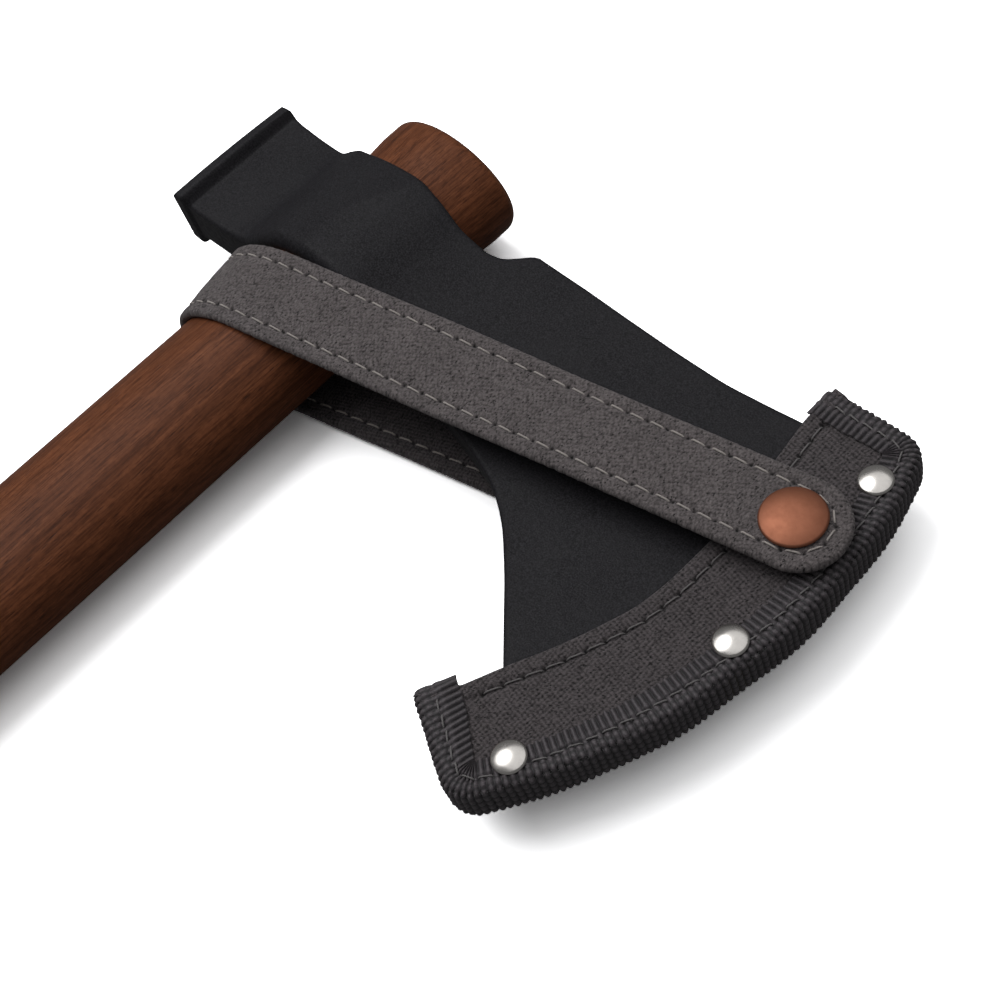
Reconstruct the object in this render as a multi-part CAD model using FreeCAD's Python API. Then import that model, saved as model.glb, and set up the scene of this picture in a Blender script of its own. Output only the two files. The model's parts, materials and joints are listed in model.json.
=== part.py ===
import FreeCAD, Part
import math
import os

os.makedirs("parts", exist_ok=True)

# Felling axe in a riveted canvas bit sheath with a snap strap. Millimetres.
# Origin: centre of the hammer face. +X towards the cutting edge, +Y along the handle
# towards its top, +Z square to the cheeks, so the axe lies on its side on a plane
# parallel to XY. Everything is drawn about the centre of the eye, on the handle's
# axis, and the finished solids are moved to the hammer face.

Vector = FreeCAD.Vector

# ---- handle ----
BUTT_Y = -577.0              # butt end, below the eye
HANDLE_TOP_Y = 35.2          # flared end, above the eye
GRIP_SEMI = (19.3, 14.2)     # oval half sizes (X, Z) of the straight grip
FLARE_SEMI = (21.9, 16.2)    # oval half sizes of the flared top
EYE_FIT_GAP = 0.1            # gap all round between handle and eye
SWELL = 1.6                  # extra half size of the swell near the butt
SWELL_Y = -548.0
SWELL_SPREAD = 55.0
TOP_ROUND = 3.0
BUTT_ROUND = 6.0

# ---- head ----
POLL_X = -55.4               # hammer face
LIP_WIDTH = 4.1              # lip around the hammer face, along X
LIP_HALF_Y = 19.3
LIP_HALF_Z = 8.5
LIP_ROUND = 0.8
EYE_TOP_Y = 18.6
EYE_BOTTOM_Y = -16.9
EYE_SEMI_BOTTOM = (19.45, 14.35)
EYE_SEMI_TOP = (21.35, 15.75)
EYE_ROUND = 3.5              # rounding of the eye's lower edges, under the strap
EDGE_CENTRE = (23.0, -9.0)   # centre of the cutting edge's arc, shared by the sheath
EDGE_RADIUS = 128.0
EDGE_HALF = 0.25             # half thickness of the cutting edge
BEVEL_LENGTH = 14.0
BEVEL_START_HALF = 2.7

# ---- sheath ----
RIM_RADIUS = 138.1           # outside of the edge binding, about EDGE_CENTRE
TOE_Y = 34.0                 # outside of the binding along the toe
HEEL_POINT = (106.0, -80.5)  # outside of the binding along the heel, with HEEL_SLOPE
HEEL_SLOPE = -0.5
CORNER_ROUND = 8.5
BINDING_WALL = 1.0
BINDING_WIDTH = 8.0
BINDING_ROUND = 2.0
WELT_HALF = 3.5              # the welt fills the rim from -3.5 to +3.5
PANEL_THICK = 1.2
BINDING_THICK = 0.75
HEM_THICK = 0.6
HEM_WIDTH = 9.0
POCKET_GAP = 0.6             # between cutting edge and welt
POCKET_TOP_Y = 26.2
POCKET_BOTTOM_Y = -77.6
PLY_GAP = 0.03               # running gap between stacked cloth layers

# ---- rivets and snap ----
RIVET_RADIUS = 131.3         # rivets lie on this arc about EDGE_CENTRE
RIVET_ANGLES = (12.2, -9.0, -31.5)
RIVET_HOLE = 1.8
RIVET_CAP_RADIUS = 4.0
RIVET_CAP_RISE = 1.7
SNAP_X = 146.0
SNAP_CAP_RADIUS = 7.5
SNAP_CAP_RISE = 2.2
SOCKET_RADIUS = 5.8
SOCKET_HEIGHT = 2.5
SOCKET_CAVITY = 3.2
STUD_HEAD_RADIUS = 2.5
STUD_TOP_Z = 7.2

# ---- strap ----
STRAP_ANGLE = math.radians(12.0)   # heading of the strap in plan
STRAP_Y = -32.3                    # strap centre line above the handle's axis
STRAP_WIDTH = 23.5
PLY = 1.3                          # one ply of the two-ply strap
WRAP_SEMI = (22.5, 15.7)           # inner oval of the loop round the handle
BEND_ANGLE = 150.0                 # oval angles of the two fold lines of the strap
FLAP_ANGLE = 92.0
FOLD_GAP = 2.5                     # from a fold line to the cloth of the fixed side
FOLD_START = 0.5                   # from a fold line to the cloth of the moving side
TIP_BEYOND_SNAP = 12.7
LEG_LAP_START = 6.0                # outer ply of the under leg starts here
LEG_INNER_END = 118.0
LEG_OUTER_END = 152.0
LEG_FLAT_START = 134.5             # outer ply lies flat on the back panel from here

FAR = 200.0                        # anything larger than the part


def polygon_face(points):
    corners = [Vector(x, y, 0) for x, y in points]
    return Part.Face(Part.makePolygon(corners + corners[:1]))


def slab(face, low, high):
    """Extrude a face drawn in XY between two heights."""
    shape = face.copy()
    shape.translate(Vector(0, 0, low))
    return shape.extrude(Vector(0, 0, high - low))


def disc(x, y, radius, low, high):
    return Part.makeCylinder(radius, high - low, Vector(x, y, low))


def turned(points, x, y):
    """Revolve a closed (radius, height) outline about the Z line through x, y."""
    corners = [Vector(r, 0, z) for r, z in points]
    face = Part.Face(Part.makePolygon(corners + corners[:1]))
    solid = face.revolve(Vector(0, 0, 0), Vector(0, 0, 1), 360)
    solid.translate(Vector(x, y, 0))
    return solid


def oval(semi, y):
    """Closed ellipse wire square to the handle."""
    wide, thick = semi
    ellipse = Part.Ellipse(Vector(0, 0, 0), wide, thick)
    wire = Part.Wire([ellipse.toShape()])
    wire.rotate(Vector(0, 0, 0), Vector(1, 0, 0), 90)
    wire.translate(Vector(0, y, 0))
    return wire


def spline(points):
    curve = Part.BSplineCurve()
    curve.interpolate([Vector(x, y, 0) for x, y in points])
    return curve.toShape()


def line(start, end):
    return Part.makeLine(Vector(start[0], start[1], 0), Vector(end[0], end[1], 0))


def arc(start, middle, end):
    points = [Vector(x, y, 0) for x, y in (start, middle, end)]
    return Part.Arc(*points).toShape()


# ---- head ----

def head_plan():
    """Outline of neck, eye, blade and beard seen square to the cheek."""
    neck_top = (POLL_X + 1, 17.7)
    eye_start = (-24.0, 17.8)
    eye_crest = (3.0, EYE_TOP_Y)
    dip = (30.0, 14.9)
    shoulder_foot = (38.0, 16.6)
    shoulder = (44.7, 22.6)
    toe = (FAR, 25.4)
    heel = (159.0, -105.3)
    beard_end = (98.0, -43.7)
    beard_start = (50.0, -22.6)
    eye_front = (24.0, EYE_BOTTOM_Y)
    neck_bottom = (POLL_X + 1, EYE_BOTTOM_Y)
    edges = [
        line(neck_top, eye_start),
        spline([eye_start, (-14.0, EYE_TOP_Y), eye_crest, (17.0, 16.8), dip, shoulder_foot]),
        line(shoulder_foot, shoulder),
        spline([shoulder, (60.0, 22.3), (77.0, 21.5), (104.0, 21.1), (126.6, 22.9), toe]),
        line(toe, (FAR, heel[1])),
        line((FAR, heel[1]), heel),
        line(heel, beard_end),
        arc(beard_end, (81.0, -31.2), beard_start),
        line(beard_start, eye_front),
        line(eye_front, neck_bottom),
        line(neck_bottom, neck_top),
    ]
    return Part.Face(Part.Wire(edges))


def head_thickness():
    """Side profile: neck, bulge over the eye, then cheeks thinning to the bit."""
    neck = (POLL_X + 1, 6.5)
    cheek = (50.0, 5.9)
    bit = (110.0, 2.75)
    end = (FAR, 2.0)
    bulge = [neck, (-38.0, 6.8), (-27.0, 9.8), (-18.0, 15.2), (-9.0, 18.0), (0.0, 18.8),
             (9.0, 18.0), (18.0, 14.8), (27.0, 10.4), (37.0, 7.5), cheek]
    under = [(x, -z) for x, z in reversed(bulge)]
    edges = [
        spline(bulge),
        line(cheek, bit),
        line(bit, end),
        line(end, (end[0], -end[1])),
        line((end[0], -end[1]), (bit[0], -bit[1])),
        line((bit[0], -bit[1]), (cheek[0], -cheek[1])),
        spline(under),
        line((neck[0], -neck[1]), neck),
    ]
    face = Part.Face(Part.Wire(edges))
    face.rotate(Vector(0, 0, 0), Vector(1, 0, 0), 90)
    face.translate(Vector(0, FAR, 0))
    return face.extrude(Vector(0, -2 * FAR, 0))


def bevel_body():
    """Round body that ends in the ground bevel along the cutting edge's arc."""
    start = EDGE_RADIUS - BEVEL_LENGTH
    tall = 40.0
    outline = [(0, -tall), (start, -tall), (start, -BEVEL_START_HALF), (EDGE_RADIUS, -EDGE_HALF),
               (EDGE_RADIUS, EDGE_HALF), (start, BEVEL_START_HALF), (start, tall), (0, tall)]
    return turned(outline, *EDGE_CENTRE)


def lip():
    size = Vector(LIP_WIDTH, 2 * LIP_HALF_Y, 2 * LIP_HALF_Z)
    block = Part.makeBox(size.x, size.y, size.z, Vector(POLL_X, -LIP_HALF_Y, -LIP_HALF_Z))
    return block.makeFillet(LIP_ROUND, block.Edges)


def eye_hole():
    run = (EYE_SEMI_TOP[0] - EYE_SEMI_BOTTOM[0]) / (EYE_TOP_Y - EYE_BOTTOM_Y)
    extra = 6.0
    grow = run * extra
    low = (EYE_SEMI_BOTTOM[0] - grow, EYE_SEMI_BOTTOM[1] - grow)
    high = (EYE_SEMI_TOP[0] + grow, EYE_SEMI_TOP[1] + grow)
    return Part.makeLoft([oval(low, EYE_BOTTOM_Y - extra), oval(high, EYE_TOP_Y + extra)], True)


def axe_head():
    body = slab(head_plan(), -40.0, 40.0).common(head_thickness())
    body = body.common(bevel_body())
    under_eye = [e for e in body.Edges if e.BoundBox.XLength > 50.0
                 and abs(e.BoundBox.YMax - EYE_BOTTOM_Y) < 0.01]
    body = body.makeFillet(EYE_ROUND, under_eye)
    return body.fuse(lip()).cut(eye_hole()).removeSplitter()


# ---- handle ----

def grip_semi(y):
    """Half sizes of the grip: even, with a slight swell for the lower hand."""
    swell = SWELL * math.exp(-((y - SWELL_Y) / SWELL_SPREAD) ** 2)
    return (GRIP_SEMI[0] + swell, GRIP_SEMI[1] + swell)


def handle():
    """Oval handle, passed through the eye from the top and held by its flare."""
    def in_eye(y):
        part = (y - EYE_BOTTOM_Y) / (EYE_TOP_Y - EYE_BOTTOM_Y)
        pairs = zip(EYE_SEMI_BOTTOM, EYE_SEMI_TOP)
        return tuple(low + part * (high - low) - EYE_FIT_GAP for low, high in pairs)

    sections = 16
    length = EYE_BOTTOM_Y - BUTT_Y
    heights = [BUTT_Y + length * i / sections for i in range(sections + 1)]
    shaft = Part.makeLoft([oval(grip_semi(y), y) for y in heights], True)
    eye = Part.makeLoft([oval(in_eye(EYE_BOTTOM_Y), EYE_BOTTOM_Y),
                         oval(in_eye(EYE_TOP_Y), EYE_TOP_Y)], True)
    flare = Part.makeLoft([oval(in_eye(EYE_TOP_Y), EYE_TOP_Y),
                           oval(FLARE_SEMI, HANDLE_TOP_Y)], True)
    solid = shaft.fuse([eye, flare])
    solid = rounded_end(solid, HANDLE_TOP_Y, TOP_ROUND)
    return rounded_end(solid, BUTT_Y, BUTT_ROUND)


def rounded_end(solid, y, radius):
    rim = [e for e in solid.Edges
           if abs(e.BoundBox.YMin - y) < 0.01 and abs(e.BoundBox.YMax - y) < 0.01]
    return solid.makeFillet(radius, rim)


# ---- sheath ----

def sheath_block(inset, low, high):
    """Body of the sheath outline before the mouth is cut, moved in by inset."""
    heel_drop = inset * math.hypot(1.0, HEEL_SLOPE)
    left = 95.0

    def heel_y(x):
        return HEEL_POINT[1] + HEEL_SLOPE * (x - HEEL_POINT[0]) + heel_drop

    top = TOE_Y - inset
    bounds = polygon_face([(left, top), (FAR, top), (FAR, heel_y(FAR)), (left, heel_y(left))])
    round_body = disc(*EDGE_CENTRE, RIM_RADIUS - inset, low, high)
    block = slab(bounds, low, high).common(round_body)
    corners = [e for e in block.Edges if abs(e.BoundBox.ZLength - (high - low)) < 0.01
               and e.BoundBox.XMin > 120.0]
    return block.makeFillet(max(CORNER_ROUND - inset, 1.5), corners)


def mouth_region(shift, low, high):
    """Everything on the edge side of the sheath's mouth, moved towards +X by shift."""
    top = (127.8 + shift, 24.0)
    waist = (131.4 + shift, -33.0)
    foot = (114.4 + shift, -72.9)
    edges = [
        line((127.8 + shift, 60.0), top),
        arc(top, (132.5 + shift, -11.0), waist),
        arc(waist, (124.6 + shift, -52.5), foot),
    ]
    tab = [foot, (113.0 + shift, -72.7), (110.7 + shift, -74.3), (107.0 + shift, -81.0),
           (107.0 + shift, -FAR), (FAR, -FAR), (FAR, 60.0), (127.8 + shift, 60.0)]
    edges += [line(a, b) for a, b in zip(tab, tab[1:])]
    return slab(Part.Face(Part.Wire(edges)), low, high)


def rivet_places():
    for degrees in RIVET_ANGLES:
        angle = math.radians(degrees)
        yield (EDGE_CENTRE[0] + RIVET_RADIUS * math.cos(angle),
               EDGE_CENTRE[1] + RIVET_RADIUS * math.sin(angle))


def rivet_holes(low, high):
    return [disc(x, y, RIVET_HOLE, low, high) for x, y in rivet_places()]


def snap_y():
    return STRAP_Y + SNAP_X * math.tan(STRAP_ANGLE)


def front_panel():
    low = WELT_HALF + PLY_GAP
    high = low + PANEL_THICK
    panel = sheath_block(BINDING_WALL, low, high).common(mouth_region(0, low, high))
    stud_hole = disc(SNAP_X, snap_y(), 1.3, low - 1, high + 1)
    return panel.cut(rivet_holes(low - 1, high + 1) + [stud_hole])


def back_panel():
    low = WELT_HALF + PLY_GAP
    high = low + PANEL_THICK
    panel = sheath_block(BINDING_WALL, low, high).common(mouth_region(0, low, high))
    return mirrored(panel.cut(rivet_holes(low - 1, high + 1)))


def mirrored(shape):
    return shape.mirror(Vector(0, 0, 0), Vector(0, 0, 1))


def hem():
    """Turned-in strip along the mouth, under the front panel."""
    high = WELT_HALF
    low = high - HEM_THICK
    reach = slab(polygon_face([(90, POCKET_BOTTOM_Y + 0.3), (FAR, POCKET_BOTTOM_Y + 0.3),
                               (FAR, POCKET_TOP_Y - 0.3), (90, POCKET_TOP_Y - 0.3)]), low, high)
    strip = mouth_region(0, low, high).cut(mouth_region(HEM_WIDTH, low - 1, high + 1))
    inside = disc(*EDGE_CENTRE, EDGE_RADIUS, low, high)
    return strip.common(reach).common(inside)


def pocket():
    """Room that the bit needs inside the sheath, open towards the mouth."""
    low = -WELT_HALF - 1
    high = WELT_HALF + 1
    room = polygon_face([(80, POCKET_BOTTOM_Y), (FAR, POCKET_BOTTOM_Y),
                         (FAR, POCKET_TOP_Y), (80, POCKET_TOP_Y)])
    return slab(room, low, high).common(
        disc(*EDGE_CENTRE, EDGE_RADIUS + POCKET_GAP, low, high))


def edge_welt():
    low = -WELT_HALF
    high = WELT_HALF
    welt = sheath_block(BINDING_WALL, low, high).common(mouth_region(0, low, high))
    return welt.cut([pocket()] + rivet_holes(low - 1, high + 1))


def edge_binding():
    """Folded tape over the edges of panels and welt."""
    inner = WELT_HALF + PLY_GAP + PANEL_THICK + PLY_GAP
    outer = inner + BINDING_THICK
    body = sheath_block(0, -outer, outer)
    rims = [e for e in body.Edges if e.BoundBox.ZLength < 0.01 and e.BoundBox.XMax > 110.0]
    body = body.makeFillet(BINDING_ROUND, rims)
    channel = sheath_block(BINDING_WALL - PLY_GAP, -inner, inner)
    window = sheath_block(BINDING_WIDTH, -outer - 1, outer + 1)
    left_end = slab(polygon_face([(60, -150), (97, -150), (97, 80), (60, 80)]), -20, 20)
    body = body.cut([channel, window, left_end] + rivet_holes(-outer - 1, outer + 1))
    return body.common(mouth_region(0, -outer, outer))


# ---- fasteners ----

def binding_face():
    return WELT_HALF + 2 * PLY_GAP + PANEL_THICK + BINDING_THICK


def rivet_cap(x, y):
    """Domed head with a solid shank."""
    base = binding_face() + PLY_GAP
    radius = RIVET_CAP_RADIUS
    rise = RIVET_CAP_RISE
    shank = turned([(0, -4.0), (1.1, -4.0), (1.1, base + 0.2), (0, base + 0.2)], x, y)
    return dome(x, y, base, radius, rise).fuse(shank)


def dome(x, y, base, radius, rise):
    """Low round head: short straight rim, then a spherical cap."""
    rim = 0.3 * rise
    cap_rise = rise - rim
    sphere_radius = (radius ** 2 + cap_rise ** 2) / (2 * cap_rise)
    sphere = Part.makeSphere(sphere_radius, Vector(x, y, base + rise - sphere_radius))
    return sphere.common(disc(x, y, radius, base, base + rise))


def rivet_base(x, y):
    """Flat back flange with the tube that takes the cap's shank."""
    face = -binding_face() - PLY_GAP
    outline = [(0, face - 0.8), (RIVET_CAP_RADIUS - 0.5, face - 0.8), (RIVET_CAP_RADIUS, face - 0.4),
               (RIVET_CAP_RADIUS, face), (1.7, face), (1.7, 4.4), (1.2, 4.4), (1.2, -4.2), (0, -4.2)]
    return turned(outline, x, y)


def snap_stud():
    foot = WELT_HALF + PLY_GAP + PANEL_THICK + PLY_GAP
    neck = 2.0
    outline = [(1.25, foot), (5.0, foot), (5.0, foot + 0.3), (4.6, foot + 0.5), (neck, foot + 0.6),
               (neck, foot + 1.2), (STUD_HEAD_RADIUS, foot + 1.6), (STUD_HEAD_RADIUS, STUD_TOP_Z - 0.4),
               (neck, STUD_TOP_Z), (0, STUD_TOP_Z), (0, foot + 1.5), (1.25, foot + 1.5)]
    return turned(outline, SNAP_X, snap_y())


def snap_stud_rivet():
    top = WELT_HALF
    outline = [(0, top - 0.5), (4.2, top - 0.5), (4.5, top), (1.15, top), (1.15, top + 2.6), (0, top + 2.6)]
    return turned(outline, SNAP_X, snap_y())


# ---- strap, drawn in its own frame: x along the strap, y up, z across ----

def strap_place(shape):
    """Carry a strap-frame shape to its place beside the eye."""
    along = Vector(math.cos(STRAP_ANGLE), math.sin(STRAP_ANGLE), 0)
    up = Vector(0, 0, 1)
    across = along.cross(up)
    matrix = FreeCAD.Matrix(along.x, up.x, across.x, 0,
                            along.y, up.y, across.y, STRAP_Y,
                            along.z, up.z, across.z, 0,
                            0, 0, 0, 1)
    return shape.transformGeometry(matrix)


def band(inner_offset, outer_offset, start, end):
    """Cloth following the loop's oval between two oval angles."""
    arcs = []
    for offset in (inner_offset, outer_offset):
        ellipse = Part.Ellipse(Vector(0, 0, 0), WRAP_SEMI[0] + offset, WRAP_SEMI[1] + offset)
        arcs.append(Part.ArcOfEllipse(ellipse, math.radians(start), math.radians(end)))
    inner, outer = arcs
    edges = [
        inner.toShape(),
        Part.makeLine(inner.EndPoint, outer.EndPoint),
        outer.toShape(),
        Part.makeLine(outer.StartPoint, inner.StartPoint),
    ]
    return across_strap(Part.Face(Part.Wire(Part.__sortEdges__(edges))))


def across_strap(face):
    return slab(face, -STRAP_WIDTH / 2, STRAP_WIDTH / 2)


def fold_point(degrees):
    """Middle of the strap's thickness on the loop, in the strap frame."""
    angle = math.radians(degrees)
    return ((WRAP_SEMI[0] + PLY) * math.cos(angle), (WRAP_SEMI[1] + PLY) * math.sin(angle))


def clear_of_fold(shape, degrees, radius):
    """Cut cloth back from a fold line, so the next piece can turn."""
    x, y = fold_point(degrees)
    return shape.cut(disc(x, y, radius, -STRAP_WIDTH, STRAP_WIDTH))


def strap_wrap():
    loop = band(0, 2 * PLY, BEND_ANGLE - 4, 270.0)
    return strap_place(clear_of_fold(loop, BEND_ANGLE, FOLD_GAP).Solids[-1])


def strap_bend():
    piece = band(0, 2 * PLY, FLAP_ANGLE, BEND_ANGLE)
    return strap_place(clear_of_fold(piece, FLAP_ANGLE, FOLD_GAP))


def leg_height(x, low_x, low_y, high_x, high_y):
    return low_y + (high_y - low_y) * (x - low_x) / (high_x - low_x)


def leg_slab(start, end, offset):
    """One ply of the strap under the head: sloping, then flat on the back panel."""
    top_start = -(WRAP_SEMI[1] + offset)
    flat = -(WELT_HALF + 2 * PLY_GAP + PANEL_THICK) - PLY_GAP
    knee = min(end, LEG_FLAT_START)

    def top(x):
        return leg_height(x, 0, top_start, LEG_FLAT_START, flat - offset + PLY)

    corners = [(start, top(start)), (knee, top(knee))]
    if end > LEG_FLAT_START:
        corners.append((end, top(knee)))
    below = [(x, y - PLY) for x, y in reversed(corners)]
    return strap_place(across_strap(polygon_face(corners + below)))


def strap_leg_inner():
    return leg_slab(0.5, LEG_INNER_END, 0)


def strap_leg_outer():
    return leg_slab(LEG_LAP_START, LEG_OUTER_END, PLY + PLY_GAP)


def flap_frame(shape):
    """Carry a flap shape (x from the fold, y up from mid thickness) to the strap frame."""
    x, y = fold_point(FLAP_ANGLE)
    return strap_place(moved(shape, x, y, -FLAP_TILT))


def moved(shape, x, y, radians):
    copy = shape.copy()
    copy.rotate(Vector(0, 0, 0), Vector(0, 0, 1), math.degrees(radians))
    copy.translate(Vector(x, y, 0))
    return copy


SNAP_ALONG = SNAP_X / math.cos(STRAP_ANGLE) - fold_point(FLAP_ANGLE)[0]
FLAP_MID_AT_SNAP = 9.55            # height of the strap's mid thickness at the snap
FLAP_TILT = math.asin((fold_point(FLAP_ANGLE)[1] - FLAP_MID_AT_SNAP) / SNAP_ALONG)
SNAP_REACH = SNAP_ALONG / math.cos(FLAP_TILT)


def flap_ply(low, high):
    """One ply of the flap, with its rounded tip and the hole for the snap."""
    half = STRAP_WIDTH / 2
    tip_centre = SNAP_REACH + TIP_BEYOND_SNAP - half
    shape = Part.makeBox(tip_centre - FOLD_START, STRAP_WIDTH, high - low,
                         Vector(FOLD_START, -half, low))
    shape = shape.fuse(disc(tip_centre, 0, half, low, high)).removeSplitter()
    shape = shape.cut(disc(SNAP_REACH, 0, 1.6, low - 1, high + 1))
    return flap_frame(upright(shape))


def upright(shape):
    """Turn a shape built with z as its thickness so that y is its thickness."""
    copy = shape.copy()
    copy.rotate(Vector(0, 0, 0), Vector(1, 0, 0), -90)
    return copy


def snap_cap():
    shank = disc(SNAP_REACH, 0, 1.5, -PLY - 0.55, PLY + 0.4)
    cap = dome(SNAP_REACH, 0, PLY + 2 * PLY_GAP, SNAP_CAP_RADIUS, SNAP_CAP_RISE)
    return flap_frame(upright(cap.fuse(shank)))


def snap_socket():
    """Cup under the flap that closes over the stud, with a groove for the spring ring."""
    top = -PLY - 2 * PLY_GAP
    bottom = top - SOCKET_HEIGHT
    groove = SOCKET_CAVITY + 0.8
    outline = [(1.6, top), (SOCKET_RADIUS - 0.6, top), (SOCKET_RADIUS, top - 0.6),
               (SOCKET_RADIUS, bottom + 0.3), (SOCKET_RADIUS - 0.3, bottom), (SOCKET_CAVITY, bottom),
               (SOCKET_CAVITY, bottom + 0.4), (groove, bottom + 0.4), (groove, bottom + 1.2),
               (SOCKET_CAVITY, bottom + 1.2), (SOCKET_CAVITY, top - 0.6), (1.6, top - 0.6)]
    return flap_frame(upright(turned(outline, SNAP_REACH, 0)))


def snap_spring_ring():
    bottom = -PLY - 2 * PLY_GAP - SOCKET_HEIGHT
    ring = Part.makeTorus(SOCKET_CAVITY + 0.4, 0.3, Vector(SNAP_REACH, 0, bottom + 0.8))
    return flap_frame(upright(ring))


def every(build):
    return Part.makeCompound([build(x, y) for x, y in rivet_places()])


NODES = {
    "axe_head": axe_head(),
    "handle": handle(),
    "strap_wrap": strap_wrap(),
    "strap_leg_inner": strap_leg_inner(),
    "strap_leg_outer": strap_leg_outer(),
    "strap_bend": strap_bend(),
    "flap_outer_ply": flap_ply(PLY_GAP, PLY),
    "flap_inner_ply": flap_ply(-PLY, -PLY_GAP),
    "snap_cap": snap_cap(),
    "snap_socket": snap_socket(),
    "snap_spring_ring": snap_spring_ring(),
    "snap_stud": snap_stud(),
    "snap_stud_rivet": snap_stud_rivet(),
    "front_panel": front_panel(),
    "back_panel": back_panel(),
    "front_hem": hem(),
    "back_hem": mirrored(hem()),
    "edge_welt": edge_welt(),
    "edge_binding": edge_binding(),
    "rivet_caps": every(rivet_cap),
    "rivet_bases": every(rivet_base),
}

for name, shape in NODES.items():
    shape.translate(Vector(-POLL_X, 0, 0))
    shape.exportStep("parts/" + name + ".step")
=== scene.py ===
import json
import math

import bmesh
import bpy
import numpy as np
from mathutils import Matrix, Vector
from mathutils.kdtree import KDTree


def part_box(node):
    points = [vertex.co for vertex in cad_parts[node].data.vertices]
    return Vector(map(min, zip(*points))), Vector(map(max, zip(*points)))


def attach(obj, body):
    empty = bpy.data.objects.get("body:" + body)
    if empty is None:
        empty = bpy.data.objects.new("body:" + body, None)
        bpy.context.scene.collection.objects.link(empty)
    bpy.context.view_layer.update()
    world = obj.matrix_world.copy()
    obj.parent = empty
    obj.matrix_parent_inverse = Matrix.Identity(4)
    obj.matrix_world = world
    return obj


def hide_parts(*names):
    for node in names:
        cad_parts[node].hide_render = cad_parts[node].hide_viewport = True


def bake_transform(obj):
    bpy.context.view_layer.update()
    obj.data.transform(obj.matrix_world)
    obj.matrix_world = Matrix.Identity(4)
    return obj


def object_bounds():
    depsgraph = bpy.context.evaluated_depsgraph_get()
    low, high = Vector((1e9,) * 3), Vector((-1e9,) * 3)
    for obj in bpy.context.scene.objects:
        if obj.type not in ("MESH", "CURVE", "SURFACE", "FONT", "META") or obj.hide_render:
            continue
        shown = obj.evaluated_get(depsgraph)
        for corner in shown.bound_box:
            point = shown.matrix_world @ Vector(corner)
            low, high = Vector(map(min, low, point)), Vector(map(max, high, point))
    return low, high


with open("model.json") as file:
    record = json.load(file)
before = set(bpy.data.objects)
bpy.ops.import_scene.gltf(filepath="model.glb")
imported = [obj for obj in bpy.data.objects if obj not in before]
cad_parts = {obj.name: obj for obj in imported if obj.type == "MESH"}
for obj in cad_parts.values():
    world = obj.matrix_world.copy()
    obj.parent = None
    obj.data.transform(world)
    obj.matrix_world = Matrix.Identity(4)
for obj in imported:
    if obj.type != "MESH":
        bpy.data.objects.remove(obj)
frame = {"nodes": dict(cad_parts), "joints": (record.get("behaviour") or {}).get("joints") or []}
CAD_LOW, CAD_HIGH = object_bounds()

# Looks of a felling axe in a canvas bit sheath. Shapes are worked out in millimetres in
# the row frame and turned into metres when a mesh is made.
MM = 0.001


def box_mm(node):
    low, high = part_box(node)
    return np.array(low) / MM, np.array(high) / MM


# ---- places taken from the frame ----

JOINTS = {joint["name"]: joint for joint in frame["joints"]}
HEAD_LOW, HEAD_HIGH = box_mm("axe_head")
HANDLE_LOW, HANDLE_HIGH = box_mm("handle")
RIM_LOW, RIM_HIGH = box_mm("edge_binding")
CAP_LOW, CAP_HIGH = box_mm("snap_cap")
EYE_X = (HANDLE_LOW[0] + HANDLE_HIGH[0]) / 2
CAP_CENTRE = (CAP_LOW + CAP_HIGH) / 2


# ---- mesh helpers ----

def smoothstep(x, low, high):
    t = np.clip((x - low) / (high - low), 0.0, 1.0)
    return t * t * (3.0 - 2.0 * t)


def curve_through(knots, x):
    """Smooth curve through (x, y) knots that doesn't overshoot between them."""
    kx, ky = np.array(knots, float).T
    step = np.diff(kx)
    slope = np.diff(ky) / step
    tangent = np.zeros(len(kx))
    same = slope[:-1] * slope[1:] > 0
    w1 = 2 * step[1:] + step[:-1]
    w2 = step[1:] + 2 * step[:-1]
    inner = np.zeros(len(slope) - 1)
    inner[same] = ((w1 + w2)[same] / (w1[same] / slope[:-1][same] + w2[same] / slope[1:][same]))
    tangent[1:-1] = inner
    tangent[0] = slope[0]
    tangent[-1] = slope[-1]
    x = np.asarray(x, float)
    i = np.clip(np.searchsorted(kx, x) - 1, 0, len(step) - 1)
    t = (np.clip(x, kx[0], kx[-1]) - kx[i]) / step[i]
    h00 = (1 + 2 * t) * (1 - t) ** 2
    h10 = t * (1 - t) ** 2
    h01 = t * t * (3 - 2 * t)
    h11 = t * t * (t - 1)
    return h00 * ky[i] + h10 * step[i] * tangent[i] + h01 * ky[i + 1] + h11 * step[i] * tangent[i + 1]


def wavy(points, size, seed):
    """Smooth repeatable unevenness between -1 and 1, from a few turned sine waves."""
    rng = np.random.default_rng(seed)
    total = np.zeros(points.shape[:-1])
    waves = 7
    for _ in range(waves):
        direction = rng.normal(size=points.shape[-1])
        direction /= np.linalg.norm(direction)
        rate = 2 * math.pi / (size * rng.uniform(0.7, 1.6))
        total += np.sin(points @ direction * rate + rng.uniform(0, 2 * math.pi))
    return total / waves * 1.6


def grid_faces(rows, cols, start=0, closed=False):
    """Quads of a rows by cols grid of points; closed joins the last column to the first."""
    index = start + np.arange(rows * cols).reshape(rows, cols)
    if closed:
        index = np.hstack([index, index[:, :1]])
    a, b = index[:-1, :-1], index[:-1, 1:]
    c, d = index[1:, 1:], index[1:, :-1]
    return np.stack([a, b, c, d], -1).reshape(-1, 4)


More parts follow.
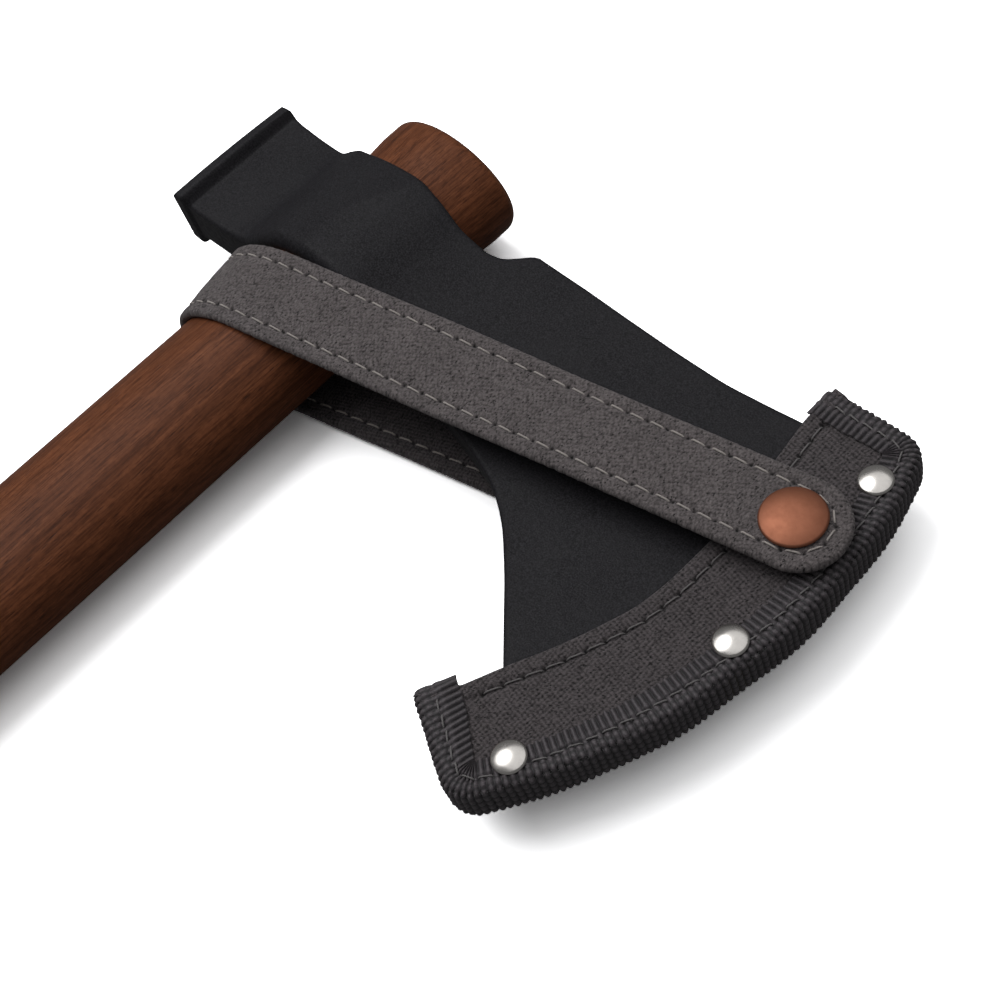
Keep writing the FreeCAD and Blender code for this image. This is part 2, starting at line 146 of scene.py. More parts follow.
def make_object(name, points, faces, uv=None, shade=None):
    """Mesh object from millimetre points; uv in millimetres, shade a 0 to 1 amount of painted shade per point."""
    mesh = bpy.data.meshes.new(name)
    mesh.from_pydata((np.asarray(points) * MM).tolist(), [], [list(f) for f in faces])
    if uv is not None:
        layer = mesh.uv_layers.new(name="UVMap")
        vertex = np.zeros(len(mesh.loops), np.int64)
        mesh.loops.foreach_get("vertex_index", vertex)
        layer.data.foreach_set("uv", np.asarray(uv, np.float32)[vertex].ravel())
    if shade is not None:
        attribute = mesh.attributes.new("shade", "FLOAT", "POINT")
        attribute.data.foreach_set("value", np.asarray(shade, np.float32))
    bm = bmesh.new()
    bm.from_mesh(mesh)
    bmesh.ops.remove_doubles(bm, verts=bm.verts, dist=1e-6)
    bmesh.ops.dissolve_degenerate(bm, edges=bm.edges, dist=1e-7)
    bmesh.ops.recalc_face_normals(bm, faces=bm.faces)
    bm.to_mesh(mesh)
    bm.free()
    mesh.shade_smooth()
    obj = bpy.data.objects.new(name, mesh)
    bpy.context.scene.collection.objects.link(obj)
    return obj


def two_sided(name, top, bottom, uv=None, shade=None):
    """Closed sheet between two grids of points with the same layout."""
    rows, cols = top.shape[:2]
    count = rows * cols
    index = np.arange(count).reshape(rows, cols)
    border = np.concatenate([index[0, :], index[1:, -1], index[-1, -2::-1], index[-2:0:-1, 0]])
    after = np.roll(border, -1)
    wall = np.stack([border, after, after + count, border + count], -1)
    faces = np.vstack([grid_faces(rows, cols), grid_faces(rows, cols, count)[:, ::-1], wall])
    points = np.vstack([top.reshape(-1, 3), bottom.reshape(-1, 3)])
    if uv is not None:
        uv = np.vstack([uv.reshape(-1, 2)] * 2)
    if shade is not None:
        shade = np.concatenate([shade.ravel()] * 2)
    return make_object(name, points, faces, uv, shade)


def tube_along(paths, radius, sides=6):
    """Points and faces of closed round threads along several point lists of one length."""
    paths = np.asarray(paths, float)
    count, steps = paths.shape[:2]
    tangent = np.gradient(paths, axis=1)
    tangent /= np.linalg.norm(tangent, axis=2, keepdims=True)
    side = np.cross(tangent, np.array([0.13, 0.21, 0.97]))
    side /= np.linalg.norm(side, axis=2, keepdims=True)
    lift = np.cross(side, tangent)
    angle = np.linspace(0, 2 * math.pi, sides, endpoint=False)
    taper = np.ones(steps)
    taper[[0, -1]] = 0.45
    ring = (side[:, :, None] * np.cos(angle)[:, None] + lift[:, :, None] * np.sin(angle)[:, None])
    points = paths[:, :, None] + ring * radius * taper[None, :, None, None]
    one = grid_faces(steps, sides, closed=True).tolist()
    cap_a = list(range(sides))[::-1]
    cap_b = list(range((steps - 1) * sides, steps * sides))
    faces = []
    for i in range(count):
        base = i * steps * sides
        faces += [[base + v for v in f] for f in one + [cap_a, cap_b]]
    return points.reshape(-1, 3), faces


def lathe(name, profile, centre, normal=(0, 0, 1), sides=96):
    """Turned part: (radius, height) profile about a normal through centre."""
    profile = np.array(profile, float)
    z = Vector(normal).normalized()
    x = z.orthogonal().normalized()
    y = z.cross(x)
    angle = np.linspace(0, 2 * math.pi, sides, endpoint=False)
    ring = np.outer(np.cos(angle), x) + np.outer(np.sin(angle), y)
    points = (np.array(centre) + profile[:, 0, None, None] * ring[None]
              + profile[:, 1, None, None] * np.array(z))
    faces = grid_faces(len(profile), sides, closed=True)
    return make_object(name, points.reshape(-1, 3), faces)


def settle(obj, body, material, nodes=()):
    """Give a piece its material, its body and the nodes it stands for."""
    obj.data.materials.clear()
    obj.data.materials.append(material)
    if body is not None:
        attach(obj, body)
    if nodes:
        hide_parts(*nodes)
    return obj


# ---- material helpers ----

class Shader:
    """Small builder for node materials."""

    def __init__(self, name):
        self.material = bpy.data.materials.new(name)
        self.material.use_nodes = True
        self.tree = self.material.node_tree
        self.main = self.tree.nodes["Principled BSDF"]
        self.places = self.tree.nodes.new("ShaderNodeTexCoord")

    def node(self, kind, inputs=None, **values):
        made = self.tree.nodes.new(kind)
        for key, value in values.items():
            setattr(made, key, value)
        for key, value in (inputs or {}).items():
            self.put(made.inputs[key], value)
        return made

    def put(self, socket, value):
        if isinstance(value, bpy.types.NodeSocket):
            self.tree.links.new(value, socket)
        else:
            socket.default_value = value

    def place(self, source="Object", scale=(1000, 1000, 1000), turn=0.0):
        """Coordinates in millimetres, optionally turned about Z and stretched."""
        mapping = self.node("ShaderNodeMapping", {"Vector": self.places.outputs[source],
                                                  "Scale": scale, "Rotation": (0, 0, turn)})
        return mapping.outputs[0]

    def noise(self, where, rate, detail=3.0, rough=0.5, distortion=0.0):
        made = self.node("ShaderNodeTexNoise", {"Vector": where, "Scale": rate, "Detail": detail,
                                                "Roughness": rough, "Distortion": distortion})
        return made.outputs["Fac"]

    def voronoi(self, where, rate, feature="F1"):
        made = self.node("ShaderNodeTexVoronoi", {"Vector": where, "Scale": rate}, feature=feature)
        return made.outputs["Distance"]

    def maths(self, operation, a, b=0.0, clamp=False):
        made = self.node("ShaderNodeMath", operation=operation, use_clamp=clamp)
        self.put(made.inputs[0], a)
        self.put(made.inputs[1], b)
        return made.outputs[0]

    def span(self, value, low, high, out_low=0.0, out_high=1.0):
        made = self.node("ShaderNodeMapRange", {"Value": value, "From Min": low, "From Max": high,
                                                "To Min": out_low, "To Max": out_high})
        return made.outputs[0]

    def mix(self, factor, a, b, blend="MIX"):
        made = self.node("ShaderNodeMix", data_type="RGBA", blend_type=blend)
        self.put(made.inputs[0], factor)
        self.put(made.inputs[6], a)
        self.put(made.inputs[7], b)
        return made.outputs[2]

    def attribute(self, name):
        return self.node("ShaderNodeAttribute", attribute_name=name).outputs["Fac"]

    def split(self, where):
        made = self.node("ShaderNodeSeparateXYZ", {"Vector": where})
        return made.outputs[0], made.outputs[1], made.outputs[2]

    def join(self, x, y, z):
        return self.node("ShaderNodeCombineXYZ", {"X": x, "Y": y, "Z": z}).outputs[0]

    def bump(self, height, distance_mm, strength=1.0, under=None):
        made = self.node("ShaderNodeBump", {"Height": height, "Strength": strength,
                                            "Distance": distance_mm * MM})
        if under is not None:
            self.put(made.inputs["Normal"], under)
        return made.outputs[0]

    def finish(self, **inputs):
        for key, value in inputs.items():
            self.put(self.main.inputs[key.replace("_", " ")], value)
        return self.material


def colour(red, green, blue):
    return (red, green, blue, 1.0)


def powder_coat():
    """Matte black powder coat over forged steel: fine pebble grain, slight sheen."""
    s = Shader("powder_coat")
    where = s.place()
    grain = s.noise(where, 2.6, 2.0, 0.6)
    pebble = s.noise(where, 0.9, 2.0, 0.5)
    forge = s.noise(where, 0.07, 3.0, 0.5)
    tone = s.mix(s.span(grain, 0.35, 0.7), colour(0.0055, 0.0053, 0.0063), colour(0.028, 0.0266, 0.0311))
    tone = s.mix(s.span(forge, 0.35, 0.75, 0.0, 0.35), tone, colour(0.024, 0.0235, 0.026))
    normal = s.bump(forge, 0.35, 0.5)
    normal = s.bump(pebble, 0.12, 1.0, normal)
    normal = s.bump(grain, 0.05, 1.0, normal)
    rough = s.span(pebble, 0.3, 0.7, 0.5, 0.64)
    return s.finish(Base_Color=tone, Roughness=rough, Normal=normal, Specular_IOR_Level=0.14)


def stained_beech():
    """Walnut-stained beech: long soft figure, fine dark pores, short ray flecks, satin oil."""
    s = Shader("stained_beech")
    x, y, z = s.split(s.place())
    bend = s.noise(s.join(s.maths("MULTIPLY", x, 0.02), s.maths("MULTIPLY", y, 0.006), 0.0), 1.0, 2.0)
    shifted = s.maths("ADD", x, s.maths("MULTIPLY", bend, 8.0))
    streak = s.noise(s.join(shifted, s.maths("MULTIPLY", y, 0.02), z), 0.5, 5.0, 0.65)
    pores = s.noise(s.join(shifted, s.maths("MULTIPLY", y, 0.06), z), 2.4, 4.0, 0.7)
    fleck_place = s.join(shifted, s.maths("MULTIPLY", y, 0.12), z)
    fleck = s.span(s.voronoi(fleck_place, 1.6), 0.1, 0.3, 1.0, 0.0)
    fleck = s.maths("MULTIPLY", fleck, s.span(s.noise(fleck_place, 0.5, 1.0), 0.46, 0.6))
    broad = s.noise(s.join(x, s.maths("MULTIPLY", y, 0.05), z), 0.06, 2.0)
    mottle = s.noise(s.place(), 0.8, 3.0, 0.7)
    tone = s.mix(s.span(streak, 0.3, 0.7), colour(0.070, 0.0205, 0.0085), colour(0.225, 0.077, 0.034))
    tone = s.mix(s.span(broad, 0.35, 0.65, 0.0, 0.4), tone, colour(0.26, 0.096, 0.044))
    tone = s.mix(s.span(pores, 0.46, 0.6, 0.0, 0.62), tone, colour(0.040, 0.0125, 0.0060))
    tone = s.mix(s.span(mottle, 0.4, 0.7, 0.0, 0.3), tone, colour(0.050, 0.016, 0.008))
    tone = s.mix(s.maths("MULTIPLY", fleck, 0.6), tone, colour(0.014, 0.0048, 0.003))
    height = s.maths("ADD", pores, s.maths("ADD", mottle, s.maths("MULTIPLY", fleck, 0.9)))
    rough = s.span(streak, 0.3, 0.7, 0.44, 0.36)
    return s.finish(Base_Color=tone, Roughness=rough, Normal=s.bump(height, -0.07, 0.8),
                    Specular_IOR_Level=0.09)


WEAVE_RATE = 2 * math.pi / 1.5


def canvas(name, dark, light, turn, weave):
    """Brushed waxed canvas: matted fibres over a close weave. Tone follows the cloth's height, partly fibre colour
    and partly painted shade in the weave's hollows; the pits between yarns and the needle holes get painted shade.
    """
    s = Shader(name)
    where = s.place("UV", (1, 1, 1), turn)
    u, v, _ = s.split(where)
    across = s.join(s.maths("MULTIPLY", u, 1.25), s.maths("MULTIPLY", v, 0.85), 0.0)
    fibre = s.noise(across, 1.5, 4.0, 0.72, 0.6)
    clump = s.noise(where, 0.55, 3.0, 0.6)
    yarn = s.voronoi(across, 1.7)
    pit = s.span(s.voronoi(across, 1.15), 0.13, 0.3, 1.0, 0.0)
    pit = s.maths("MULTIPLY", pit, s.span(s.noise(where, 0.7, 2.0), 0.44, 0.6))
    wax = s.noise(where, 0.1, 4.0, 0.6)
    drift = s.maths("MULTIPLY", s.noise(where, 0.45, 2.0), 5.0)
    warp = s.maths("SINE", s.maths("ADD", s.maths("MULTIPLY", u, WEAVE_RATE), drift))
    weft = s.maths("SINE", s.maths("ADD", s.maths("MULTIPLY", v, 1.15 * WEAVE_RATE), drift))
    cloth = s.maths("MULTIPLY", s.maths("MULTIPLY", warp, weft), weave)
    height = s.maths("SUBTRACT", s.maths("MULTIPLY", fibre, 1.5), s.maths("MULTIPLY", yarn, 0.55))
    height = s.maths("ADD", height, cloth)
    height = s.maths("ADD", height, s.maths("MULTIPLY", clump, 0.5))
    height = s.maths("SUBTRACT", height, s.maths("MULTIPLY", pit, 0.75))
    # Tone follows height: lower parts of the weave are darker, partly fibre colour, partly painted shade.
    tone = s.mix(s.span(height, 0.2, 1.0), dark, light)
    tone = s.mix(s.span(wax, 0.3, 0.7, 0.0, 0.2), tone, dark)
    # Painted shade: near black in the pits between yarns.
    tone = s.mix(s.maths("MULTIPLY", pit, 0.55), tone, colour(0.012, 0.011, 0.011))
    # Painted shade: near black where the mesh's shade value is high, round the needle holes.
    tone = s.mix(s.attribute("shade"), tone, colour(0.003, 0.003, 0.003))
    return s.finish(Base_Color=tone, Roughness=s.span(height, 0.2, 1.0, 0.95, 0.8),
                    Normal=s.bump(height, 0.34, 1.0), Sheen_Weight=0.1, Sheen_Roughness=0.5,
                    Specular_IOR_Level=0.2)


def grosgrain():
    """Ribbed tape: fine fibres inside each rib; the ribs themselves are geometry, and painted shade darkens the
    valleys between ribs and beads and the inner flange.
    """
    s = Shader("grosgrain")
    where = s.place()
    fibre = s.noise(where, 3.0, 3.0, 0.6)
    broad = s.noise(where, 0.25, 2.0)
    painted_valley_shade = s.attribute("shade")
    tone = s.mix(s.span(fibre, 0.3, 0.7), colour(0.031, 0.0272, 0.0304), colour(0.128, 0.109, 0.120))
    tone = s.mix(s.span(broad, 0.35, 0.7, 0.0, 0.3), tone, colour(0.068, 0.060, 0.065))
    # Painted shade: near black where the mesh's shade value is high.
    tone = s.mix(s.maths("MULTIPLY", painted_valley_shade, 0.85), tone, colour(0.004, 0.004, 0.0045))
    return s.finish(Base_Color=tone, Roughness=s.span(fibre, 0.3, 0.7, 0.5, 0.66),
                    Normal=s.bump(fibre, 0.05, 0.7), Sheen_Weight=0.1, Sheen_Roughness=0.4)


def thread(name, tone):
    s = Shader(name)
    where = s.place()
    ply = s.noise(where, 5.0, 2.0)
    shade = s.mix(s.span(ply, 0.3, 0.7), tuple(0.6 * c for c in tone[:3]) + (1.0,), tone)
    return s.finish(Base_Color=shade, Roughness=0.7, Normal=s.bump(ply, 0.05, 0.8),
                    Sheen_Weight=0.15)


def plated(name, tone, rough_low, rough_high, scratch=0.6):
    """Plated or polished metal with a faint haze, handling marks and fine scratches."""
    s = Shader(name)
    where = s.place()
    haze = s.noise(where, 0.5, 4.0, 0.6)
    mark = s.noise(s.join(s.split(where)[0], s.maths("MULTIPLY", s.split(where)[1], 9.0), 0.0),
                   1.2, 4.0, 0.7)
    grain = s.noise(where, 6.0, 2.0)
    shade = s.mix(s.span(haze, 0.3, 0.75, 0.0, 0.4), tone, tuple(0.72 * c for c in tone[:3]) + (1.0,))
    rough = s.span(s.maths("ADD", haze, s.maths("MULTIPLY", mark, scratch)), 0.5, 1.1,
                   rough_low, rough_high)
    return s.finish(Base_Color=shade, Metallic=1.0, Roughness=rough, Normal=s.bump(grain, 0.01, 0.35))


def filler_board():
    s = Shader("filler_board")
    where = s.place()
    fibre = s.noise(where, 1.6, 4.0, 0.65)
    tone = s.mix(s.span(fibre, 0.3, 0.7), colour(0.03, 0.026, 0.023), colour(0.07, 0.06, 0.052))
    return s.finish(Base_Color=tone, Roughness=0.85, Normal=s.bump(fibre, 0.12, 0.8))


def floor_paper():
    """Bright paper that runs out to white; it throws only part of its light back up."""
    s = Shader("floor_paper")
    seen = s.node("ShaderNodeLightPath").outputs["Is Camera Ray"]
    where = s.place(scale=(1, 1, 1))
    x, y, _ = s.split(where)
    far = s.maths("ADD", s.maths("MULTIPLY", x, x), s.maths("MULTIPLY", y, y))
    fibre = s.noise(where, 400.0, 3.0)
    pale = s.mix(fibre, colour(2.95, 2.95, 2.98), colour(3.05, 3.05, 3.07))
    tone = s.mix(seen, colour(0.2, 0.2, 0.2), pale)
    s.finish(Emission_Color=colour(1.0, 1.0, 1.0),
             Emission_Strength=s.maths("MULTIPLY", seen, s.span(far, 0.35, 1.2)))
    return s.finish(Base_Color=tone, Roughness=0.9, Specular_IOR_Level=0.05)


COAT = powder_coat()
BEECH = stained_beech()
STRAP_CANVAS = canvas("strap_canvas", colour(0.022, 0.0190, 0.0190), colour(0.200, 0.176, 0.177), 0.35,
                      0.10)
PANEL_CANVAS = canvas("panel_canvas", colour(0.013, 0.0113, 0.0117), colour(0.124, 0.108, 0.112), 0.9,
                      0.26)
TAPE = grosgrain()
STRAP_THREAD = thread("strap_thread", colour(0.42, 0.38, 0.355))
SHEATH_THREAD = thread("sheath_thread", colour(0.17, 0.16, 0.16))
NICKEL = plated("nickel", colour(0.72, 0.69, 0.66), 0.18, 0.3)
COPPER = plated("copper", colour(0.35, 0.14, 0.083), 0.46, 0.58)
SNAP_STEEL = plated("snap_steel", colour(0.5, 0.49, 0.47), 0.25, 0.4)
BOARD = filler_board()


# ---- axe head ----

LIP_WIDTH = 4.3
LIP_TOP_Y = 20.2
LIP_LOW_Y = -20.1
LIP_HALF_Z = 9.3
HEAD_EDGE_ROUND = 1.3
EDGE_CENTRE = np.array([EYE_X + 23.0, -9.0])
EDGE_RADIUS = 128.0
EDGE_HALF = 0.22
BEVEL_LENGTH = 14.0
BEVEL_START_HALF = 2.7
EYE_SEMI_LOW = np.array([19.45, 14.35])
EYE_SEMI_HIGH = np.array([21.35, 15.75])
EYE_BOTTOM_Y = -16.9
EYE_TOP_Y = 18.6


def head_top_y(x):
    """Upper edge of the head in plan: lip, neck, eye, dip, shoulder, blade."""
    knots = [(-56, 19.9), (-50, 19.8), (-46, 19.4), (-42, 19.1), (-38, 18.8), (-34, 18.6),
             (-30, 18.35), (-26, 18.1), (-20, 17.9), (-14, 18.1), (-4, 18.6), (5, 18.4), (17, 16.8),
             (27, 15.1), (33, 15.0), (37.4, 16.1), (40.5, 18.7), (43.6, 21.7), (45.2, 22.3),
             (57, 22.3), (77, 21.7), (93, 21.4), (104, 21.45), (115, 22.2), (126.6, 23.35), (137, 24.4),
             (160, 25.0)]
    plain = curve_through(knots, x - EYE_X)
    lip = 1.0 - smoothstep(x, 1.5, 9.0)
    return plain + lip * (LIP_TOP_Y - plain)


def head_low_y(x):
    """Lower edge of the head in plan: lip, neck, eye, beard down to the heel."""
    knots = [(-56, -19.5), (-38, -19.4), (-24, -18.6), (-10, -17.3), (0, EYE_BOTTOM_Y),
             (22, -17.3), (36, -19.4), (50, -22.8), (60, -25.3), (70, -28.0), (81, -31.6),
             (90, -37.0), (98, -44.0), (110, -56.0), (125, -71.1), (160, -106.3)]
    plain = curve_through(knots, x - EYE_X)
    lip = 1.0 - smoothstep(x, LIP_WIDTH - 1.2, LIP_WIDTH + 1.0)
    return plain + lip * (LIP_LOW_Y - plain)


def head_half_z(x):
    """Half thickness of the head along its length, before the ground bevel."""
    knots = [(-56, 6.4), (-38, 6.4), (-31, 6.6), (-27, 7.3), (-24, 9.0), (-20, 11.9), (-15, 14.9),
             (-10, 17.1), (-5, 18.4), (0, 18.75), (8, 18.2), (16, 15.9), (25, 11.7), (32, 9.2), (40, 7.3), (50, 6.0),
             (80, 4.35), (110, 2.8), (160, 2.3)]
    plain = curve_through(knots, x - EYE_X)
    lip = 1.0 - smoothstep(x, LIP_WIDTH - 0.9, LIP_WIDTH + 1.9)
    return plain + lip * (LIP_HALF_Z - plain)


def edge_arc_y(x, sign):
    """Height of the cutting edge's arc above and below its centre."""
    inside = np.clip(EDGE_RADIUS ** 2 - (x - EDGE_CENTRE[0]) ** 2, 0, None)
    return EDGE_CENTRE[1] + sign * np.sqrt(inside)


def graded(stops):
    """Positions along a line: (end, step) pairs after a first start value."""
    values = [np.array([stops[0]])]
    start = stops[0]
    for end, step in stops[1]:
        count = max(1, int(round((end - start) / step)))
        values.append(np.linspace(start, end, count + 1)[1:])
        start = end
    return np.concatenate(values)


def edge_graded(half, fine):
    """Positions 0 to 1 across a strip of half width, packed near both edges."""
    near = np.array(fine) / (2 * half)
    middle = np.linspace(near[-1], 1 - near[-1], 56)[1:-1]
    return np.concatenate([near, middle, 1 - near[::-1]])


def head_outline_tree(columns, low, high):
    """Search tree of plan outline points, for the distance to the nearest edge."""
    fine_x = np.interp(np.linspace(0, len(columns) - 1, 6 * len(columns)),
                       np.arange(len(columns)), columns)
    low_y = np.interp(fine_x, columns, low)
    high_y = np.interp(fine_x, columns, high)
    poll_y = np.linspace(LIP_LOW_Y, LIP_TOP_Y, 160)
    spots = np.vstack([np.stack([fine_x, low_y], 1), np.stack([fine_x, high_y], 1),
                       np.stack([np.full(160, columns[0]), poll_y], 1)])
    tree = KDTree(len(spots))
    for i, (x, y) in enumerate(spots):
        tree.insert((x, y, 0), i)
    tree.balance()
    return tree


def head_blank():
    """Closed head without its eye: two height fields that meet at rounded edges."""
    tip = EDGE_CENTRE[0] + EDGE_RADIUS
    heel_x = EYE_X + 131.0
    stops = (0.0, [(0.5, 0.08), (1.6, 0.25), (3.2, 0.3), (6.0, 0.12), (20, 0.9), (EYE_X - 24, 0.9),
                   (EYE_X + 30, 0.8), (EYE_X + 48, 0.45), (EYE_X + 100, 1.3), (heel_x - 2, 0.8),
                   (heel_x + 1, 0.25), (tip - 5, 0.5), (tip - 0.6, 0.2), (tip, 0.04)])
    columns = graded(stops)
    low = np.maximum(head_low_y(columns), edge_arc_y(columns, -1))
    high = np.minimum(head_top_y(columns), edge_arc_y(columns, 1))
    across = edge_graded(20.0, [0, 0.03, 0.12, 0.27, 0.48, 0.75, 1.05, 1.4, 1.9, 2.6, 3.5])
    x = np.repeat(columns[:, None], len(across), 1)
    y = low[:, None] + (high - low)[:, None] * across[None]
    tree = head_outline_tree(columns, low, high)
    reach = np.array([tree.find((a, b, 0))[2] for a, b in zip(x.ravel(), y.ravel())]).reshape(x.shape)
    reach[:, [0, -1]] = 0
    reach[0] = 0
    reach[-1] = 0
    from_centre = np.hypot(x - EDGE_CENTRE[0], y - EDGE_CENTRE[1])
    ground = EDGE_HALF + (EDGE_RADIUS - from_centre) * (BEVEL_START_HALF - EDGE_HALF) / BEVEL_LENGTH
    half = np.minimum(head_half_z(x), np.maximum(ground, EDGE_HALF))
    under_eye = smoothstep(-y, 6.0, 17.0) * np.exp(-((x - EYE_X) / 26.0) ** 4)
    radius = np.minimum(HEAD_EDGE_ROUND + 2.6 * under_eye, 0.85 * half)
    near = np.clip(reach, 0, radius)
    drop = radius - np.sqrt(np.clip(radius ** 2 - (radius - near) ** 2, 0, None))
    z = half - drop
    return two_sided("head_blank", np.stack([x, y, z], -1), np.stack([x, y, -z], -1))


def eye_cutter():
    """Tapered oval plug in the shape of the eye."""
    extra = 8.0
    rows = np.linspace(EYE_BOTTOM_Y - extra, EYE_TOP_Y + extra, 24)
    part = (rows - EYE_BOTTOM_Y) / (EYE_TOP_Y - EYE_BOTTOM_Y)
    semi = EYE_SEMI_LOW + part[:, None] * (EYE_SEMI_HIGH - EYE_SEMI_LOW)
    sides = 160
    angle = np.linspace(0, 2 * math.pi, sides, endpoint=False)
    points = np.stack([EYE_X + semi[:, :1] * np.cos(angle), np.repeat(rows[:, None], sides, 1),
                       semi[:, 1:] * np.sin(angle)], -1)
    faces = grid_faces(len(rows), sides, closed=True).tolist()
    last = (len(rows) - 1) * sides
    faces += [list(range(sides))[::-1], list(range(last, last + sides))]
    return make_object("eye_cutter", points.reshape(-1, 3), faces)


def apply_modifiers(obj):
    evaluated = obj.evaluated_get(bpy.context.evaluated_depsgraph_get())
    mesh = bpy.data.meshes.new_from_object(evaluated)
    old = obj.data
    obj.modifiers.clear()
    obj.data = mesh
    bpy.data.meshes.remove(old)


def build_head():
    head = head_blank()
    head.name = "head_forging"
    cutter = eye_cutter()
    cut = head.modifiers.new("eye", "BOOLEAN")
    cut.operation = "DIFFERENCE"
    cut.solver = "EXACT"
    cut.object = cutter
    bpy.context.view_layer.update()
    apply_modifiers(head)
    bpy.data.objects.remove(cutter)
    head.data.shade_smooth()
    head.data.set_sharp_from_angle(angle=math.radians(38))
    settle(head, "axe", COAT, ["axe_head"])


# ---- handle ----

GRIP_SEMI = np.array([19.3, 14.2])
FLARE_SEMI = np.array([21.9, 16.2])
SWELL = 1.6
SWELL_Y = -548.0
SWELL_SPREAD = 55.0
EYE_FIT_GAP = 0.1


def handle_semi(y):
    """Half sizes of the handle at a height: swell, even grip, taper in the eye, flare."""
    grip = GRIP_SEMI[None] + (SWELL * np.exp(-((y - SWELL_Y) / SWELL_SPREAD) ** 2))[:, None]
    part = np.clip((y - EYE_BOTTOM_Y) / (EYE_TOP_Y - EYE_BOTTOM_Y), 0, 1)[:, None]
    eye = EYE_SEMI_LOW + part * (EYE_SEMI_HIGH - EYE_SEMI_LOW) - EYE_FIT_GAP
    above = smoothstep(y, EYE_TOP_Y, EYE_TOP_Y + 9.0)[:, None]
    eye = eye + above * (FLARE_SEMI - eye)
    blend = smoothstep(y, EYE_BOTTOM_Y - 4.0, EYE_BOTTOM_Y)[:, None]
    return grip + blend * (eye - grip)


def build_handle():
    top_round = 3.0
    butt_round = 6.0
    dome = 0.3
    low, high = HANDLE_LOW[1], HANDLE_HIGH[1] - dome
    y = graded((low + butt_round, [(EYE_BOTTOM_Y - 5, 4.0), (high - top_round, 0.7)]))
    semi = handle_semi(y)
    turn = np.linspace(0, math.pi / 2, 14)[1:]
    top_y = high - top_round + top_round * np.sin(turn)
    top_semi = semi[-1] - top_round * (1 - np.cos(turn))[:, None]
    butt_y = low + butt_round - butt_round * np.sin(turn)
    butt_semi = semi[0] - butt_round * (1 - np.cos(turn))[:, None]
    shrink = np.linspace(1, 0, 14)[1:]
    lid_y = high + dome * (1 - shrink ** 2)
    lid_semi = top_semi[-1] * shrink[:, None]
    foot_y = np.full(len(shrink), low)
    foot_semi = butt_semi[-1] * shrink[:, None]
    rows = np.concatenate([foot_y[::-1], butt_y[::-1], y, top_y, lid_y])
    semis = np.vstack([foot_semi[::-1], butt_semi[::-1], semi, top_semi, lid_semi])
    angle = np.linspace(0, 2 * math.pi, 128, endpoint=False)
    points = np.stack([EYE_X + semis[:, :1] * np.cos(angle), np.repeat(rows[:, None], len(angle), 1),
                       semis[:, 1:] * np.sin(angle)], -1)
    faces = grid_faces(len(rows), len(angle), closed=True)
    handle = make_object("handle_shaft", points.reshape(-1, 3), faces)
    settle(handle, "axe", BEECH, ["handle"])


# ---- strap ----

HINGE = JOINTS["strap_lift"]["axis"]
ALONG = np.array([-HINGE[1], HINGE[0], 0.0])
UP = np.array([0.0, 0.0, 1.0])
ACROSS = np.cross(UP, ALONG)
LIFT_POINT = np.array(JOINTS["strap_lift"]["pos_m"]) / MM
OPEN_POINT = np.array(JOINTS["strap_open"]["pos_m"]) / MM
BEND_ANGLE = math.radians(150.0)
STRAP_ORIGIN = LIFT_POINT + ALONG * (EYE_X - LIFT_POINT[0]) / ALONG[0]
STRAP_ORIGIN[2] = 0.0
OVAL = np.array([(LIFT_POINT - STRAP_ORIGIN) @ ALONG / math.cos(BEND_ANGLE),
                 LIFT_POINT[2] / math.sin(BEND_ANGLE)])
STRAP_HALF_WIDTH = 11.6
PLY = 1.3
SNAP_CAP_RISE = 2.2
SNAP_S = (CAP_CENTRE - STRAP_ORIGIN) @ ALONG
FLAP_MID_AT_SNAP = CAP_HIGH[2] - SNAP_CAP_RISE - PLY
TIP_S = SNAP_S + 12.7
STITCH_INSET = 3.8
STITCH_PITCH = 5.2
LOOP_START_S = 6.0
LEG_LOW, LEG_HIGH = box_mm("strap_leg_outer")

# The loop is a shallow cone: it grips the handle at its lower edge and stands off it at
# its upper edge, clear of the eye. Each amount is at the strap's edge against its middle.
LOOP_SEMI = np.array([22.5, 17.0])
UNDER_SEMI_Z = 16.5
CONE_ALONG = 1.6
CONE_TOP = 1.7
CONE_UNDER = 0.8
CONE_SKEW = 2.4
TOP_SHIFT = 1.4
UNDER_SHIFT = 1.9
LEG_FLAT_S = 134.5


def resample(points, step):
    gaps = np.linalg.norm(np.diff(points[:, :2], axis=0), axis=1)
    length = np.concatenate([[0], np.cumsum(gaps)])
    count = int(round(length[-1] / step)) + 1
    at = np.linspace(0, length[-1], count)
    return np.stack([np.interp(at, length, points[:, k]) for k in range(points.shape[1])], 1)


def relaxed(points, reach):
    """Soften corners of a resampled line without moving its ends."""
    kernel = np.exp(-np.linspace(-2, 2, 4 * reach + 1) ** 2)
    kernel /= kernel.sum()
    pad = 2 * reach
    before = points[0] - (points[1:pad + 1] - points[0])[::-1]
    after = points[-1] - (points[-pad - 1:-1] - points[-1])[::-1]
    padded = np.vstack([before, points, after])
    return np.stack([np.convolve(padded[:, k], kernel, "valid") for k in range(points.shape[1])], 1)


